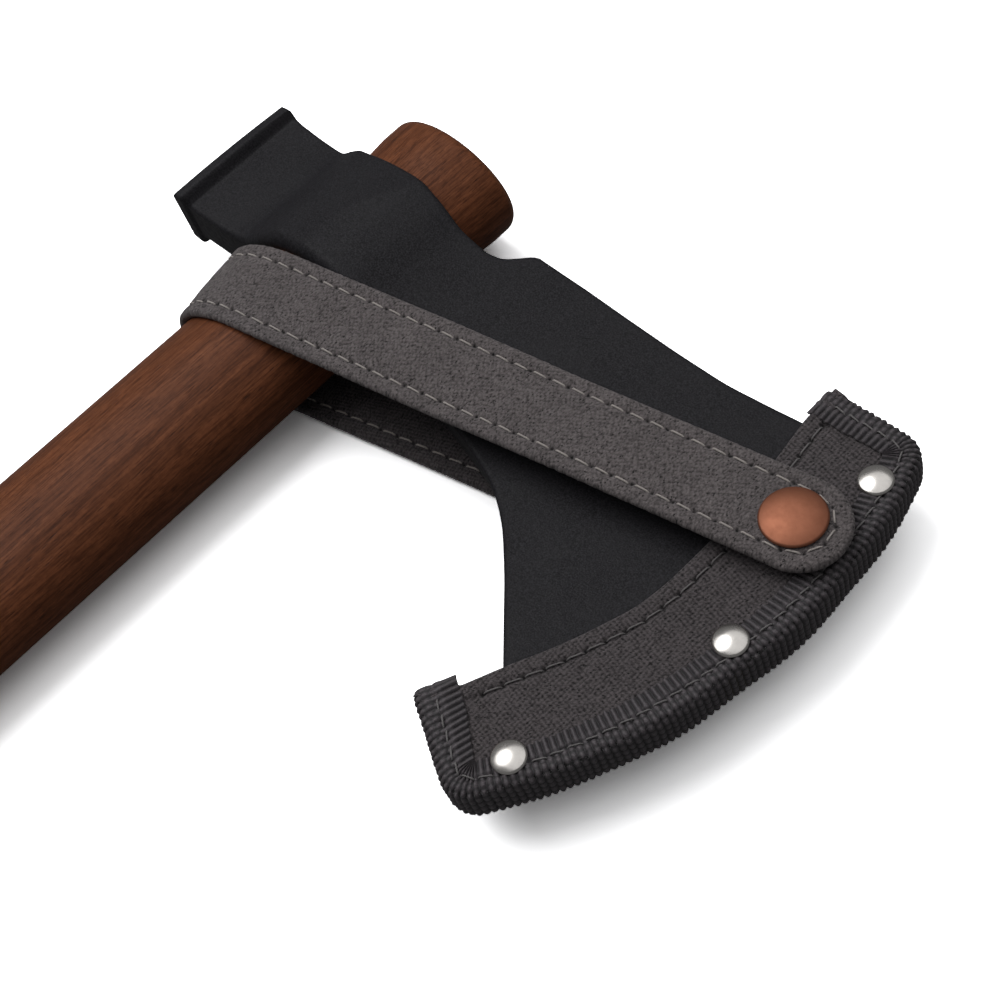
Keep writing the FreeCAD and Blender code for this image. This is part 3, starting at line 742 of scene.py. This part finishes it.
class Path:
    """A strap's middle line, measured along its length.

    Each point holds: place along the strap's heading, height, how far the upper edge
    leads and rises against the middle, and the middle's shift across the heading.
    """

    def __init__(self, points, reach=10):
        self.points = relaxed(resample(np.array(points, float), 0.25), reach)
        gaps = np.linalg.norm(np.diff(self.points[:, :2], axis=0), axis=1)
        self.length = np.concatenate([[0], np.cumsum(gaps)])
        self.slope = np.gradient(self.points[:, :4], self.length, axis=0)

    def near(self, s, z):
        return self.length[np.argmin(np.hypot(*(self.points[:, :2] - np.array([s, z])).T))]

    def world(self, place, across, lift):
        """Points from length along the path, offset across and height off the middle."""
        here = [np.interp(place, self.length, self.points[:, k]) for k in range(5)]
        run = [np.interp(place, self.length, self.slope[:, k]) for k in range(4)]
        part = across / STRAP_HALF_WIDTH
        s = here[0] + part * here[2]
        z = here[1] + part * here[3]
        tangent = ((run[0] + part * run[2])[..., None] * ALONG + (run[1] + part * run[3])[..., None] * UP)
        side = (ACROSS + (here[2] / STRAP_HALF_WIDTH)[..., None] * ALONG
                + (here[3] / STRAP_HALF_WIDTH)[..., None] * UP)
        normal = np.cross(tangent, side)
        normal /= np.linalg.norm(normal, axis=-1, keepdims=True)
        return (STRAP_ORIGIN + s[..., None] * ALONG + (across + here[4])[..., None] * ACROSS
                + z[..., None] * UP + normal * lift[..., None])


def leg_point(s, offset):
    """A ply under the head: slopes up to the back panel, then lies on it."""
    flat_z = LEG_LOW[2] + PLY / 2
    part = np.clip(s / LEG_FLAT_S, None, 1.0)
    start = -UNDER_SEMI_Z - offset
    end = flat_z - offset + PLY / 2
    bank = -CONE_UNDER * (1 - smoothstep(s, 20, 100))
    return (s, start + (end - start) * part, 0.0, bank, UNDER_SHIFT * (1 - smoothstep(s, 75, 134)))


def loop_path():
    under = [leg_point(s, 0.0) for s in np.linspace(LOOP_START_S, 1.0, 6)]
    oval = []
    for degrees in np.linspace(270, 93, 90):
        cos, sin = math.cos(math.radians(degrees)), math.sin(math.radians(degrees))
        semi_z, cone = (LOOP_SEMI[1], CONE_TOP) if sin > 0 else (UNDER_SEMI_Z, CONE_UNDER)
        shift = TOP_SHIFT + (UNDER_SHIFT - TOP_SHIFT) * float(smoothstep(degrees, 93, 270))
        oval.append((LOOP_SEMI[0] * cos, semi_z * sin, CONE_SKEW + CONE_ALONG * cos, cone * sin, shift))
    start = oval[-1][0]
    slope = (LOOP_SEMI[1] - FLAP_MID_AT_SNAP) / (SNAP_S - start)
    flap = []
    for s in np.linspace(start + 1, TIP_S, 90):
        z = LOOP_SEMI[1] - slope * (s - start) - 0.5 * smoothstep(s, SNAP_S - 4, TIP_S + 4)
        bank = CONE_TOP * (1 - 0.8 * smoothstep(s, 50, 100)) * (1 - smoothstep(s, 100, SNAP_S - 4))
        skew = CONE_SKEW * (1 - smoothstep(s, 0, 25))
        flap.append((s, z, skew, bank, TOP_SHIFT * (1 - s / SNAP_S)))
    return Path(under + oval + flap)


def tip_reach(place, centre):
    """Half width of the strap at a length along it, shrinking round the tip."""
    beyond = np.clip(place - centre, 0, STRAP_HALF_WIDTH)
    return np.sqrt(np.clip(STRAP_HALF_WIDTH ** 2 - beyond ** 2, 0, None))


def from_edge(place, across, centre):
    """Distance in from the strap's outline."""
    straight = STRAP_HALF_WIDTH - np.abs(across)
    radial = STRAP_HALF_WIDTH - np.hypot(np.clip(place - centre, 0, None), across)
    return np.clip(np.where(place > centre, radial, straight), 0, None)


def strap_lift(inset, half, groove=0.34):
    """Height of the cloth over its middle: rolled edge, border pad, sewn groove, crown."""
    edge_round = 0.95 * half
    near = np.clip(inset, 0, edge_round) / edge_round
    body = half * np.sqrt(np.clip(1 - (1 - near) ** 2, 0, 1))
    sewn = groove * np.exp(-((inset - STITCH_INSET) / 0.62) ** 2)
    crown = 0.16 * smoothstep(inset, STITCH_INSET, STRAP_HALF_WIDTH - 2)
    return body - sewn * near + crown


def row_points(end, centre, pitch=STITCH_PITCH):
    """Needle holes (length, across) down one side, round the tip and up the other."""
    radius = STRAP_HALF_WIDTH - STITCH_INSET
    down = centre - np.arange(int((centre - end) / pitch), 0, -1) * pitch
    one = np.stack([down, np.full(len(down), radius)], 1)
    turns = int(round(math.pi * radius / pitch))
    angle = np.linspace(math.pi / 2, -math.pi / 2, turns + 1)
    tip = np.stack([centre + radius * np.cos(angle), radius * np.sin(angle)], 1)
    two = one[::-1] * np.array([1, -1])
    return np.vstack([one, tip, two])


def side_rows(start, end, pitch=STITCH_PITCH):
    """Two straight rows of needle holes, as separate lists."""
    places = np.arange(start, end, pitch)
    radius = STRAP_HALF_WIDTH - STITCH_INSET
    return [np.stack([places, np.full(len(places), side * radius)], 1) for side in (1, -1)]


def hole_dents(place, across, holes):
    """0 to 1 closeness to the nearest needle hole."""
    tree = KDTree(len(holes))
    for i, (a, b) in enumerate(holes):
        tree.insert((a, b, 0), i)
    tree.balance()
    flat = zip(place.ravel(), across.ravel())
    reach = np.array([tree.find((a, b, 0))[2] for a, b in flat]).reshape(place.shape)
    return np.exp(-(reach / 0.42) ** 2)


ACROSS_STEPS = [0, 0.02, 0.08, 0.2, 0.38, 0.6, 0.9, 1.25, 1.7, 2.2, 2.7, 3.1, 3.35, 3.55, 3.72, 3.9,
                4.08, 4.25, 4.45, 4.75, 5.2, 5.8]


def strap_section(name, path, start, end, centre, holes, material, half=PLY, seed=3, offset=0.0,
                  step=0.32):
    """A length of strap as a closed mesh, with its needle holes and rolled edges."""
    tip = end > centre
    width_steps = np.array(ACROSS_STEPS) / (2 * STRAP_HALF_WIDTH)
    inner_steps = np.linspace(width_steps[-1], 1 - width_steps[-1], 24)[1:-1]
    straight_end = min(end, centre)
    places = np.linspace(start, straight_end, max(2, int((straight_end - start) / step)) + 1)
    if tip:
        turn = np.linspace(0, math.pi / 2, 64)[1:]
        places = np.concatenate([places, centre + STRAP_HALF_WIDTH * np.sin(turn)])
    share = np.concatenate([width_steps, inner_steps, 1 - width_steps[::-1]])
    width = tip_reach(places, centre)
    place = np.repeat(places[:, None], len(share), 1)
    across = (2 * share[None] - 1) * width[:, None]
    inset = from_edge(place, across, centre)
    dent = hole_dents(place, across, holes)
    flat = np.stack([place, across], -1)
    soft = 0.07 * wavy(flat, 14.0, seed) + 0.035 * wavy(flat, 3.0, seed + 1)
    ragged = 0.10 * wavy(flat, 1.3, seed + 2) * np.exp(-inset / 0.8) * np.sign(across)
    soft = soft * smoothstep(inset, 0.0, 1.5)
    top = strap_lift(inset, half) - 0.5 * dent + soft
    low = -strap_lift(inset, half) + 0.5 * dent + soft
    lip = path.world(place, across + ragged, top + offset)
    base = path.world(place, across + ragged, low + offset)
    # Painted shade: the cloth is darkened round each needle hole.
    shade = np.clip(1.35 * dent - 0.15, 0, 1)
    band = two_sided(name, lip, base, flat, shade)
    band.data.set_sharp_from_angle(angle=math.radians(65))
    return settle(band, None, material)


def stitches(name, path, rows, material, lift, start, end, side=1.0, radius=0.24):
    """Threads between neighbouring needle holes, dipping into each hole."""
    t = np.linspace(0, 1, 11)
    rise = -0.42 + 0.64 * smoothstep(t, 0.0, 0.22) * smoothstep(1 - t, 0.0, 0.22)
    paths = []
    for row in rows:
        for a, b in zip(row[:-1], row[1:]):
            middle = (a[0] + b[0]) / 2
            if not start <= middle < end:
                continue
            run = b - a
            aside = np.array([-run[1], run[0]]) / np.linalg.norm(run)
            flat = a + (0.10 + 0.78 * t)[:, None] * run + (0.16 * (1 - 2 * t))[:, None] * aside
            paths.append(path.world(flat[:, 0], flat[:, 1], side * (lift + rise)))
    points, faces = tube_along(paths, radius)
    return settle(make_object(name, points, faces), None, material)


def world_point(path, place):
    return Vector(path.world(np.array([place]), np.array([0.0]), np.array([0.0]))[0] * MM)


def build_strap():
    """Loop and flap: five lengths of one strap, cut where the two folds turn."""
    path = loop_path()
    total = path.length[-1]
    centre = total - STRAP_HALF_WIDTH
    holes = row_points(2.0, centre)
    half_row = [holes]

    def oval_at(degrees):
        angle = math.radians(degrees)
        return path.near(OVAL[0] * math.cos(angle), OVAL[1] * math.sin(angle))

    cuts = [0.0, oval_at(166), oval_at(136), oval_at(108), path.near(15, OPEN_POINT[2] - 0.7), total]
    names = ["strap_loop", "strap_lift_fold", "strap_fold_band", "strap_open_fold", "strap_flap_band"]
    bodies = ["axe", ("axe", "strap_fold"), "strap_fold", ("strap_fold", "strap_flap"), "strap_flap"]
    nodes = [["strap_wrap"], [], ["strap_bend"], [], ["flap_outer_ply", "flap_inner_ply"]]
    level = float(strap_lift(np.array(STITCH_INSET), PLY))
    for name, body, stand, low, high in zip(names, bodies, nodes, cuts, cuts[1:]):
        band = strap_section(name, path, low, high, centre, holes, STRAP_CANVAS)
        outside = stitches(name + "_thread", path, half_row, STRAP_THREAD, level, low, high)
        pieces = [band, outside]
        if body == "strap_flap":
            pieces.append(stitches(name + "_thread_back", path, half_row, STRAP_THREAD, level, low, high,
                                   -1.0))
        for piece in pieces:
            if isinstance(body, tuple):
                world_point(path, low)
                world_point(path, high)
                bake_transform(piece)
            else:
                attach(piece, body)
        if stand:
            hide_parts(*stand)


def build_under_leg():
    """Rear end of the strap under the head: inner ply on the axe, outer ply on the sheath."""
    inner_end = 118.0
    outer_end = 152.0
    inner = Path([leg_point(s, -PLY / 2) for s in np.linspace(inner_end, LOOP_START_S, 60)])
    outer = Path([leg_point(s, PLY / 2 + 0.03) for s in np.linspace(outer_end, LOOP_START_S, 80)])
    level = float(strap_lift(np.array(STITCH_INSET), PLY / 2, 0.2))
    for name, path, body, node, side in (("strap_leg_inner_ply", inner, "axe", "strap_leg_inner", -1.0),
                                         ("strap_leg_outer_ply", outer, "sheath", "strap_leg_outer", 1.0)):
        rows = side_rows(1.5, path.length[-1] - 0.5)
        far = path.length[-1] + 100
        # Painted shade: the inner ply lies in shadow under the head, so it gets the darker panel canvas instead of
        # the strap canvas.
        cloth = PANEL_CANVAS if body == "axe" else STRAP_CANVAS
        band = strap_section(name, path, 0.0, path.length[-1], far, np.vstack(rows), cloth,
                             PLY / 2, seed=11)
        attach(band, body)
        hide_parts(node)
        row = stitches(name + "_thread", path, rows, STRAP_THREAD, level, 0.0, path.length[-1], side)
        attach(row, body)


# ---- sheath ----

RIM_RADIUS = 138.2
TOE_Y = RIM_HIGH[1] - 0.5
HEEL_POINT = np.array([EYE_X + 106.0, -80.5])
HEEL_SLOPE = -0.5
CORNER_ROUND = 7.7
PANEL_TOP = 4.75
PANEL_INNER = 3.55
HEM_INNER = 2.95
HEM_STITCH = 4.4


def rim_line(inset, corner_steps=26, side_steps=60, rim_steps=420):
    """Sheath outline from the toe's mouth end, round the rim, to the heel's mouth end."""
    radius = RIM_RADIUS - inset
    round_ = max(CORNER_ROUND - inset, 0.8)
    top = TOE_Y - inset
    slope_angle = math.atan(HEEL_SLOPE)
    heel_normal = np.array([math.sin(slope_angle), -math.cos(slope_angle)])
    heel_base = HEEL_POINT - heel_normal * inset
    inner = radius - round_
    toe_dy = top - round_ - EDGE_CENTRE[1]
    toe_c = np.array([EDGE_CENTRE[0] + math.sqrt(inner ** 2 - toe_dy ** 2), top - round_])
    along = np.array([math.cos(slope_angle), math.sin(slope_angle)])
    start = heel_base - heel_normal * round_ - EDGE_CENTRE
    b = start @ along
    reach = -b + math.sqrt(b * b - start @ start + inner ** 2)
    heel_c = EDGE_CENTRE + start + reach * along
    toe_dir = (toe_c - EDGE_CENTRE) / inner
    heel_dir = (heel_c - EDGE_CENTRE) / inner
    toe_angle = math.atan2(toe_dir[1], toe_dir[0])
    heel_angle = math.atan2(heel_dir[1], heel_dir[0])
    out_angle = math.atan2(heel_normal[1], heel_normal[0])

    def arc(centre, r, a, b_, steps):
        angle = np.linspace(a, b_, steps, endpoint=False)
        return np.stack([centre[0] + r * np.cos(angle), centre[1] + r * np.sin(angle)], 1)

    toe_start = np.array([EYE_X + 127.9, top])
    toe_line = np.linspace(toe_start, [toe_c[0], top], side_steps, endpoint=False)
    heel_start = heel_c + heel_normal * round_
    heel_end = heel_base + along * 1.9
    heel_line = np.linspace(heel_start, heel_end, side_steps)
    return np.vstack([toe_line, arc(toe_c, round_, math.pi / 2, toe_angle, corner_steps),
                      arc(EDGE_CENTRE, radius, toe_angle, heel_angle, rim_steps),
                      arc(heel_c, round_, heel_angle, out_angle, corner_steps), heel_line])


def mouth_line(count):
    """Mouth edge of a panel from the toe corner to the heel tab, evenly spaced."""
    knots = [(34.0, 128.0), (24.0, 128.1), (17.7, 128.9), (8.0, 130.3), (-11.0, 132.4),
             (-24.0, 132.2), (-33.0, 131.2), (-44.0, 127.6), (-52.5, 124.0), (-63.0, 118.6), (-72.0, 114.3)]
    y = np.linspace(33.2, -72.0, 240)
    x = curve_through([(-a, b) for a, b in knots], -y) + EYE_X
    tab = [(EYE_X + 113.3, -72.9), (EYE_X + 111.2, -74.4), (EYE_X + 109.2, -77.6),
           (EYE_X + 107.6, -80.6)]
    line = np.vstack([np.stack([x, y], 1), tab])
    even = resample(line, 0.2)
    at = np.linspace(0, len(even) - 1, count)
    return np.stack([np.interp(at, np.arange(len(even)), even[:, k]) for k in (0, 1)], 1)


def nearest(points, line):
    tree = KDTree(len(line))
    for i, (a, b) in enumerate(line):
        tree.insert((a, b, 0), i)
    tree.balance()
    flat = points.reshape(-1, 2)
    return np.array([tree.find((a, b, 0))[2] for a, b in flat]).reshape(points.shape[:-1])


def mouth_holes():
    """Needle holes of the mouth seam, a hem's width inside the mouth edge."""
    mouth = resample(mouth_line(500)[:-30], 0.25)
    tangent = np.gradient(mouth, axis=0)
    tangent /= np.linalg.norm(tangent, axis=1, keepdims=True)
    inward = np.stack([-tangent[:, 1], tangent[:, 0]], 1)
    row = resample(mouth + HEM_STITCH * inward, 4.6)
    return row[(row[:, 1] < TOE_Y - 8.0) & (row[:, 1] > -74.5)]


def panel_grid():
    """Plan grid of a panel: rows run along the mouth, columns from mouth to rim."""
    rows = 460
    rim = rim_line(2.2)
    rim = resample(rim[50:], 0.2)
    at = np.linspace(0, len(rim) - 1, rows)
    rim = np.stack([np.interp(at, np.arange(len(rim)), rim[:, k]) for k in (0, 1)], 1)
    mouth = mouth_line(rows)
    share = np.concatenate([[0, 0.004, 0.012, 0.025, 0.042, 0.062], np.linspace(0.085, 1, 70)])
    return mouth[:, None] + (rim - mouth)[:, None] * share[None, :, None]


def build_panels():
    plan = panel_grid()
    mouth = resample(mouth_line(800), 0.12)
    inset = nearest(plan, mouth)
    inset[:, 0] = 0
    holes = mouth_holes()
    dent = np.exp(-(nearest(plan, holes) / 0.55) ** 2)
    fold_round = 1.05
    near = np.clip(inset, 0, fold_round) / fold_round
    roll = np.sqrt(np.clip(1 - (1 - near) ** 2, 0, 1))
    groove = 0.46 * np.exp(-((inset - HEM_STITCH) / 0.65) ** 2)
    pad = 0.42 * (1 - smoothstep(inset, HEM_STITCH - 0.5, HEM_STITCH + 0.9))
    soft = 0.10 * wavy(plan, 17.0, 21) + 0.04 * wavy(plan, 4.0, 22)
    soft = soft * smoothstep(inset, 0, 2)
    middle = (PANEL_TOP + HEM_INNER) / 2
    top = middle + roll * (PANEL_TOP + pad - groove - middle) + soft - 0.45 * dent
    inner = HEM_INNER + (PANEL_INNER - HEM_INNER) * smoothstep(inset, 8.6, 9.2)
    low = middle + roll * (inner - middle)
    # Painted shade: the panel is darkened round each needle hole of the hem seam.
    shade = np.clip(1.3 * dent - 0.12, 0, 1)
    for name, flip, nodes in (("sheath_front", 1, ["front_panel", "front_hem"]),
                              ("sheath_back", -1, ["back_panel", "back_hem"])):
        upper = np.dstack([plan, flip * top])
        lower = np.dstack([plan, flip * low])
        panel = two_sided(name, upper, lower, plan, shade)
        settle(panel, "sheath", PANEL_CANVAS, nodes)
        row = sheath_stitches(name + "_hem_thread", holes, flip * (PANEL_TOP + 0.05), flip)
        settle(row, "sheath", SHEATH_THREAD)


def sheath_stitches(name, holes, height, flip, radius=0.2, slant=0.14):
    t = np.linspace(0, 1, 11)
    rise = -0.42 + 0.60 * smoothstep(t, 0.0, 0.2) * smoothstep(1 - t, 0.0, 0.2)
    paths = []
    for a, b in zip(holes[:-1], holes[1:]):
        run = b - a
        aside = np.array([-run[1], run[0]]) / np.linalg.norm(run)
        flat = a + (0.06 + 0.88 * t)[:, None] * run + (slant * (1 - 2 * t))[:, None] * aside
        z = np.full(len(t), height) + flip * rise
        paths.append(np.column_stack([flat, z]))
    points, faces = tube_along(paths, radius)
    return make_object(name, points, faces)


# ---- edge binding ----

BINDING_HALF = 5.55
RIM_ROUND = 2.4
RIB_PITCH = 1.65
BEAD_PITCH = 2.0
SEAM_DEPTH = 3.9
SEAM_PITCH = 3.9
TOE_COVER = 0.4
HEEL_COVER = 0.9


def tape_width(at, length):
    """Width of the tape's flange: widest beside the heel, even round the rim."""
    from_heel = length - at
    wide = 2.3 * (1 - smoothstep(from_heel, 6.0, 26.0))
    toe = 0.5 * (1 - smoothstep(at, 8.0, 20.0))
    return 7.9 + wide + toe


def tape_line(inset):
    """Rim line carried past the corners of the panels and the welt at both ends."""
    line = rim_line(inset)
    for end, beside, cover in ((0, 1, TOE_COVER), (-1, -2, HEEL_COVER)):
        step = line[end] - line[beside]
        line[end] += step / np.linalg.norm(step) * cover
    return line


def tape_section():
    """Cross-section of the folded tape as (share of the flange, rim depth, height, girth)."""
    flange = np.linspace(1.0, 0.0, 34)
    turn = np.linspace(0, math.pi / 2, 10)[1:]
    side = np.linspace(BINDING_HALF - RIM_ROUND, 0, 12)[1:]
    share = np.concatenate([flange, np.zeros(len(turn) + len(side))])
    depth = np.concatenate([np.full(len(flange), RIM_ROUND), RIM_ROUND * (1 - np.sin(turn)),
                            np.zeros(len(side))])
    height = np.concatenate([np.full(len(flange), BINDING_HALF),
                             BINDING_HALF - RIM_ROUND * (1 - np.cos(turn)), side])
    back = slice(-2, None, -1)
    return (np.concatenate([share, share[back]]), np.concatenate([depth, depth[back]]),
            np.concatenate([height, -height[back]]))


def build_binding():
    outline = tape_line(0.5)
    gaps = np.linalg.norm(np.diff(outline, axis=0), axis=1)
    length = np.concatenate([[0], np.cumsum(gaps)])
    steps = int(length[-1] / RIB_PITCH * 9)
    at = np.linspace(0, length[-1], steps)

    def even(line):
        return np.stack([np.interp(at, length, line[:, k]) for k in (0, 1)], 1)

    rim = even(outline)
    reach = 8.0
    inward = (even(tape_line(reach)) - rim) / (reach - 0.5)
    share, depth, height = tape_section()
    width = tape_width(at, length[-1])
    depth = depth[None] + share[None] * (width[:, None] - RIM_ROUND)
    height = np.repeat(height[None], steps, 0)
    step = np.hypot(np.diff(depth, axis=1), np.diff(height, axis=1))
    girth = np.hstack([np.zeros((steps, 1)), np.cumsum(step, axis=1)])
    where = np.repeat(at[:, None], len(share), 1)
    flat = np.stack([where, girth], -1)
    phase = where / RIB_PITCH + 0.10 * wavy(flat, 16.0, 31) + 0.5 * np.sin(girth / 9.0)
    rib = np.abs(np.sin(math.pi * phase))
    row = np.floor(phase)
    rng = np.random.default_rng(7)
    jitter = rng.uniform(-0.5, 0.5, int(row.max()) + 9)[(row + 4).astype(int)]
    beads = girth / BEAD_PITCH + 0.5 * (row % 2) + 0.5 * jitter
    bead = np.abs(np.sin(math.pi * beads))
    size = 0.5 + 0.5 * np.sin(12.9 * row + 7.7 * np.floor(beads))
    on_rim = (1 - smoothstep(share, 0.28, 0.5))[None]
    inner = smoothstep(share, 0.45, 0.6)[None]
    seam = np.exp(-((depth - SEAM_DEPTH - 0.35 * inward_bow(width)[:, None]) / 0.6) ** 2)
    seam = seam * (np.abs(height) > 0.9 * BINDING_HALF)
    rib_height = 0.62 + 0.3 * inner
    notch = (0.06 + 0.55 * on_rim) * (1 - bead ** 0.8)
    raised = rib_height * rib ** 0.8 * (1 - notch) + 0.10 * size * rib * on_rim
    from_end = np.minimum(at, length[-1] - at)
    raised = (raised * smoothstep(from_end, 0.0, 1.5)[:, None] - 0.43 - 0.42 * seam - 0.25 * inner)
    across = np.gradient(np.stack([depth, height], -1), axis=1)
    across /= np.linalg.norm(across, axis=2, keepdims=True) + 1e-9
    depth = depth + across[..., 1] * raised
    height = height - across[..., 0] * raised
    fray = np.exp(-((1 - share[None]) * width[:, None] / 0.5))
    depth = depth + 0.25 * wavy(flat, 2.0, 33) * fray
    slack = 0.45 * wavy(np.stack([at, at], -1), 38.0, 35)
    slack = slack * smoothstep(length[-1] - at, 0.0, 12.0) * smoothstep(at, 0.0, 10.0)
    depth = depth + slack[:, None] * (1 - share[None])
    outer = np.dstack([rim[:, None] + inward[:, None] * depth[..., None], height])
    wall = 0.62
    core_depth = np.clip(depth, wall, None)
    core_height = np.clip(height, -4.76, 4.76)
    inside = np.dstack([rim[:, None] + inward[:, None] * core_depth[..., None], core_height])
    # Painted shade: darker in the valleys between ribs, between the beads on the rim and over the inner flange.
    painted_valley_shade = (1 - rib) ** 1.2 + 0.9 * (1 - bead) ** 1.7 * on_rim + 0.25 * inner
    tape = two_sided("sheath_binding", outer, inside, flat, np.clip(painted_valley_shade, 0, 1))
    settle(tape, "sheath", TAPE, ["edge_binding"])
    for name, flip in (("binding_thread_front", 1), ("binding_thread_back", -1)):
        line = rim + inward * (SEAM_DEPTH + 0.35 * inward_bow(width))[:, None]
        seam_row = resample(line, SEAM_PITCH)[1:-1]
        thread_row = sheath_stitches(name, seam_row, flip * (BINDING_HALF - 0.22), flip, 0.2, 0.25)
        settle(thread_row, "sheath", SHEATH_THREAD)


def inward_bow(width):
    """How much deeper the seam runs where the flange is wide."""
    return width - 7.9


# ---- metal ----

RIVET_RADIUS = 131.3
RIVET_ANGLES = (12.2, -9.0, -31.5)


def domed_profile(radius, rise, rim, crown):
    """Half section of a round cap: rolled rim, then a dome; a higher crown is flatter."""
    roll = [(radius - 0.9, 0.0), (radius - 0.35, 0.02), (radius - 0.08, 0.14), (radius, 0.36),
            (radius - 0.04, rim), (radius - 0.22, rim + 0.22)]
    edge = radius - 0.45
    base = rim + 0.36
    angle = np.linspace(0, math.pi / 2, 22)
    dome = [(edge * math.cos(a), base + (rise - base) * (1 - math.cos(a) ** crown)) for a in angle]
    return [(0.0, 0.0)] + roll + dome[:-1] + [(0.0, rise)]


def build_metal():
    _, rivet_high = box_mm("rivet_caps")
    base_low, _ = box_mm("rivet_bases")
    rise = 1.75
    joined = []
    for degrees in RIVET_ANGLES:
        angle = math.radians(degrees)
        x = EDGE_CENTRE[0] + RIVET_RADIUS * math.cos(angle)
        y = EDGE_CENTRE[1] + RIVET_RADIUS * math.sin(angle)
        joined.append((x, y))
    for i, (x, y) in enumerate(joined):
        cap = lathe(f"rivet_cap_{i + 1}", domed_profile(4.0, rise, 0.5, 2.0), (x, y, rivet_high[2] - rise))
        settle(cap, "sheath", NICKEL, ["rivet_caps"])
        flange = [(0.0, 0.0), (3.3, 0.0), (3.85, 0.1), (4.0, 0.35), (3.9, 0.62), (3.4, 0.8), (1.6, 0.86),
                  (1.2, 0.6), (0.0, 0.55)]
        base = lathe(f"rivet_base_{i + 1}", flange, (x, y, base_low[2] + 0.8), (0, 0, -1))
        settle(base, "sheath", NICKEL, ["rivet_bases"])
    tilt = math.atan((OPEN_POINT[2] - FLAP_MID_AT_SNAP)
                     / (SNAP_S - (OPEN_POINT - STRAP_ORIGIN) @ ALONG))
    normal = UP * math.cos(tilt) + ALONG * math.sin(tilt)
    top = np.array([CAP_CENTRE[0], CAP_CENTRE[1], FLAP_MID_AT_SNAP]) + normal * (PLY + 0.05)
    cap = lathe("snap_button", domed_profile(7.5, SNAP_CAP_RISE, 0.55, 2.6), top, normal, 160)
    settle(cap, "strap_flap", COPPER, ["snap_cap"])
    for node in ("snap_socket", "snap_spring_ring", "snap_stud", "snap_stud_rivet"):
        part = frame["nodes"][node]
        part.data.materials.clear()
        part.data.materials.append(SNAP_STEEL)
    welt = frame["nodes"]["edge_welt"]
    welt.data.materials.clear()
    welt.data.materials.append(BOARD)


# ---- stage ----

VIEW_AZIMUTH = math.radians(64.2)
VIEW_ELEVATION = math.radians(53.3)
VIEW_ROLL = math.radians(-22.76)
VIEW_AIM = np.array([EYE_X + 84.3, -32.5, 0.0]) * MM
VIEW_DISTANCE = 0.3942
VIEW_LENS = 62.12


def view_axes():
    sa, ca = math.sin(VIEW_AZIMUTH), math.cos(VIEW_AZIMUTH)
    se, ce = math.sin(VIEW_ELEVATION), math.cos(VIEW_ELEVATION)
    back = np.array([sa * ce, -ca * ce, se])
    level = np.array([ca, sa, 0.0])
    rise = np.cross(back, level)
    right = math.cos(VIEW_ROLL) * level + math.sin(VIEW_ROLL) * rise
    up = -math.sin(VIEW_ROLL) * level + math.cos(VIEW_ROLL) * rise
    return right, up, back


def build_camera():
    right, up, back = view_axes()
    data = bpy.data.cameras.new("camera")
    data.lens = VIEW_LENS
    data.sensor_width = 36.0
    data.clip_start = 0.01
    data.clip_end = 20.0
    camera = bpy.data.objects.new("camera", data)
    place = VIEW_AIM + VIEW_DISTANCE * back
    matrix = Matrix([[right[i], up[i], back[i], place[i]] for i in range(3)] + [[0, 0, 0, 1]])
    camera.matrix_world = matrix
    bpy.context.scene.collection.objects.link(camera)
    bpy.context.scene.camera = camera


def area_light(name, direction, distance, size, power, tint=(1.0, 1.0, 1.0)):
    data = bpy.data.lights.new(name, "AREA")
    data.shape = "DISK"
    data.size = size
    data.energy = power
    data.color = tint
    light = bpy.data.objects.new(name, data)
    direction = Vector(direction).normalized()
    aim = Vector(VIEW_AIM)
    light.location = aim + direction * distance
    light.rotation_mode = "QUATERNION"
    light.rotation_quaternion = direction.to_track_quat("Z", "Y")
    bpy.context.scene.collection.objects.link(light)


def build_stage():
    floor_z = float(CAD_LOW[2]) - 0.0002
    half = 6.0
    corners = [(-half, -half, floor_z), (half, -half, floor_z), (half, half, floor_z),
               (-half, half, floor_z)]
    mesh = bpy.data.meshes.new("floor")
    mesh.from_pydata(corners, [], [(0, 1, 2, 3)])
    floor = bpy.data.objects.new("floor", mesh)
    mesh.materials.append(floor_paper())
    bpy.context.scene.collection.objects.link(floor)
    right, up, back = view_axes()
    area_light("key", UP * 1.0 - right * 0.75 + up * 0.5, 0.95, 0.9, 4.3)
    area_light("overhead", UP * 1.0 + up * 0.35 + right * 0.12, 1.3, 2.2, 8.4)
    world = bpy.data.worlds.new("studio")
    world.use_nodes = True
    background = world.node_tree.nodes["Background"]
    seen = world.node_tree.nodes.new("ShaderNodeLightPath").outputs["Is Camera Ray"]
    strength = world.node_tree.nodes.new("ShaderNodeMapRange")
    strength.inputs["To Min"].default_value = 0.14
    strength.inputs["To Max"].default_value = 1.0
    world.node_tree.links.new(seen, strength.inputs["Value"])
    world.node_tree.links.new(strength.outputs[0], background.inputs["Strength"])
    background.inputs["Color"].default_value = colour(1.0, 1.0, 1.0)
    bpy.context.scene.world = world
    bpy.context.scene.view_settings.view_transform = "Standard"


build_head()
build_handle()
build_strap()
build_under_leg()
build_panels()
build_binding()
build_metal()
build_camera()
build_stage()
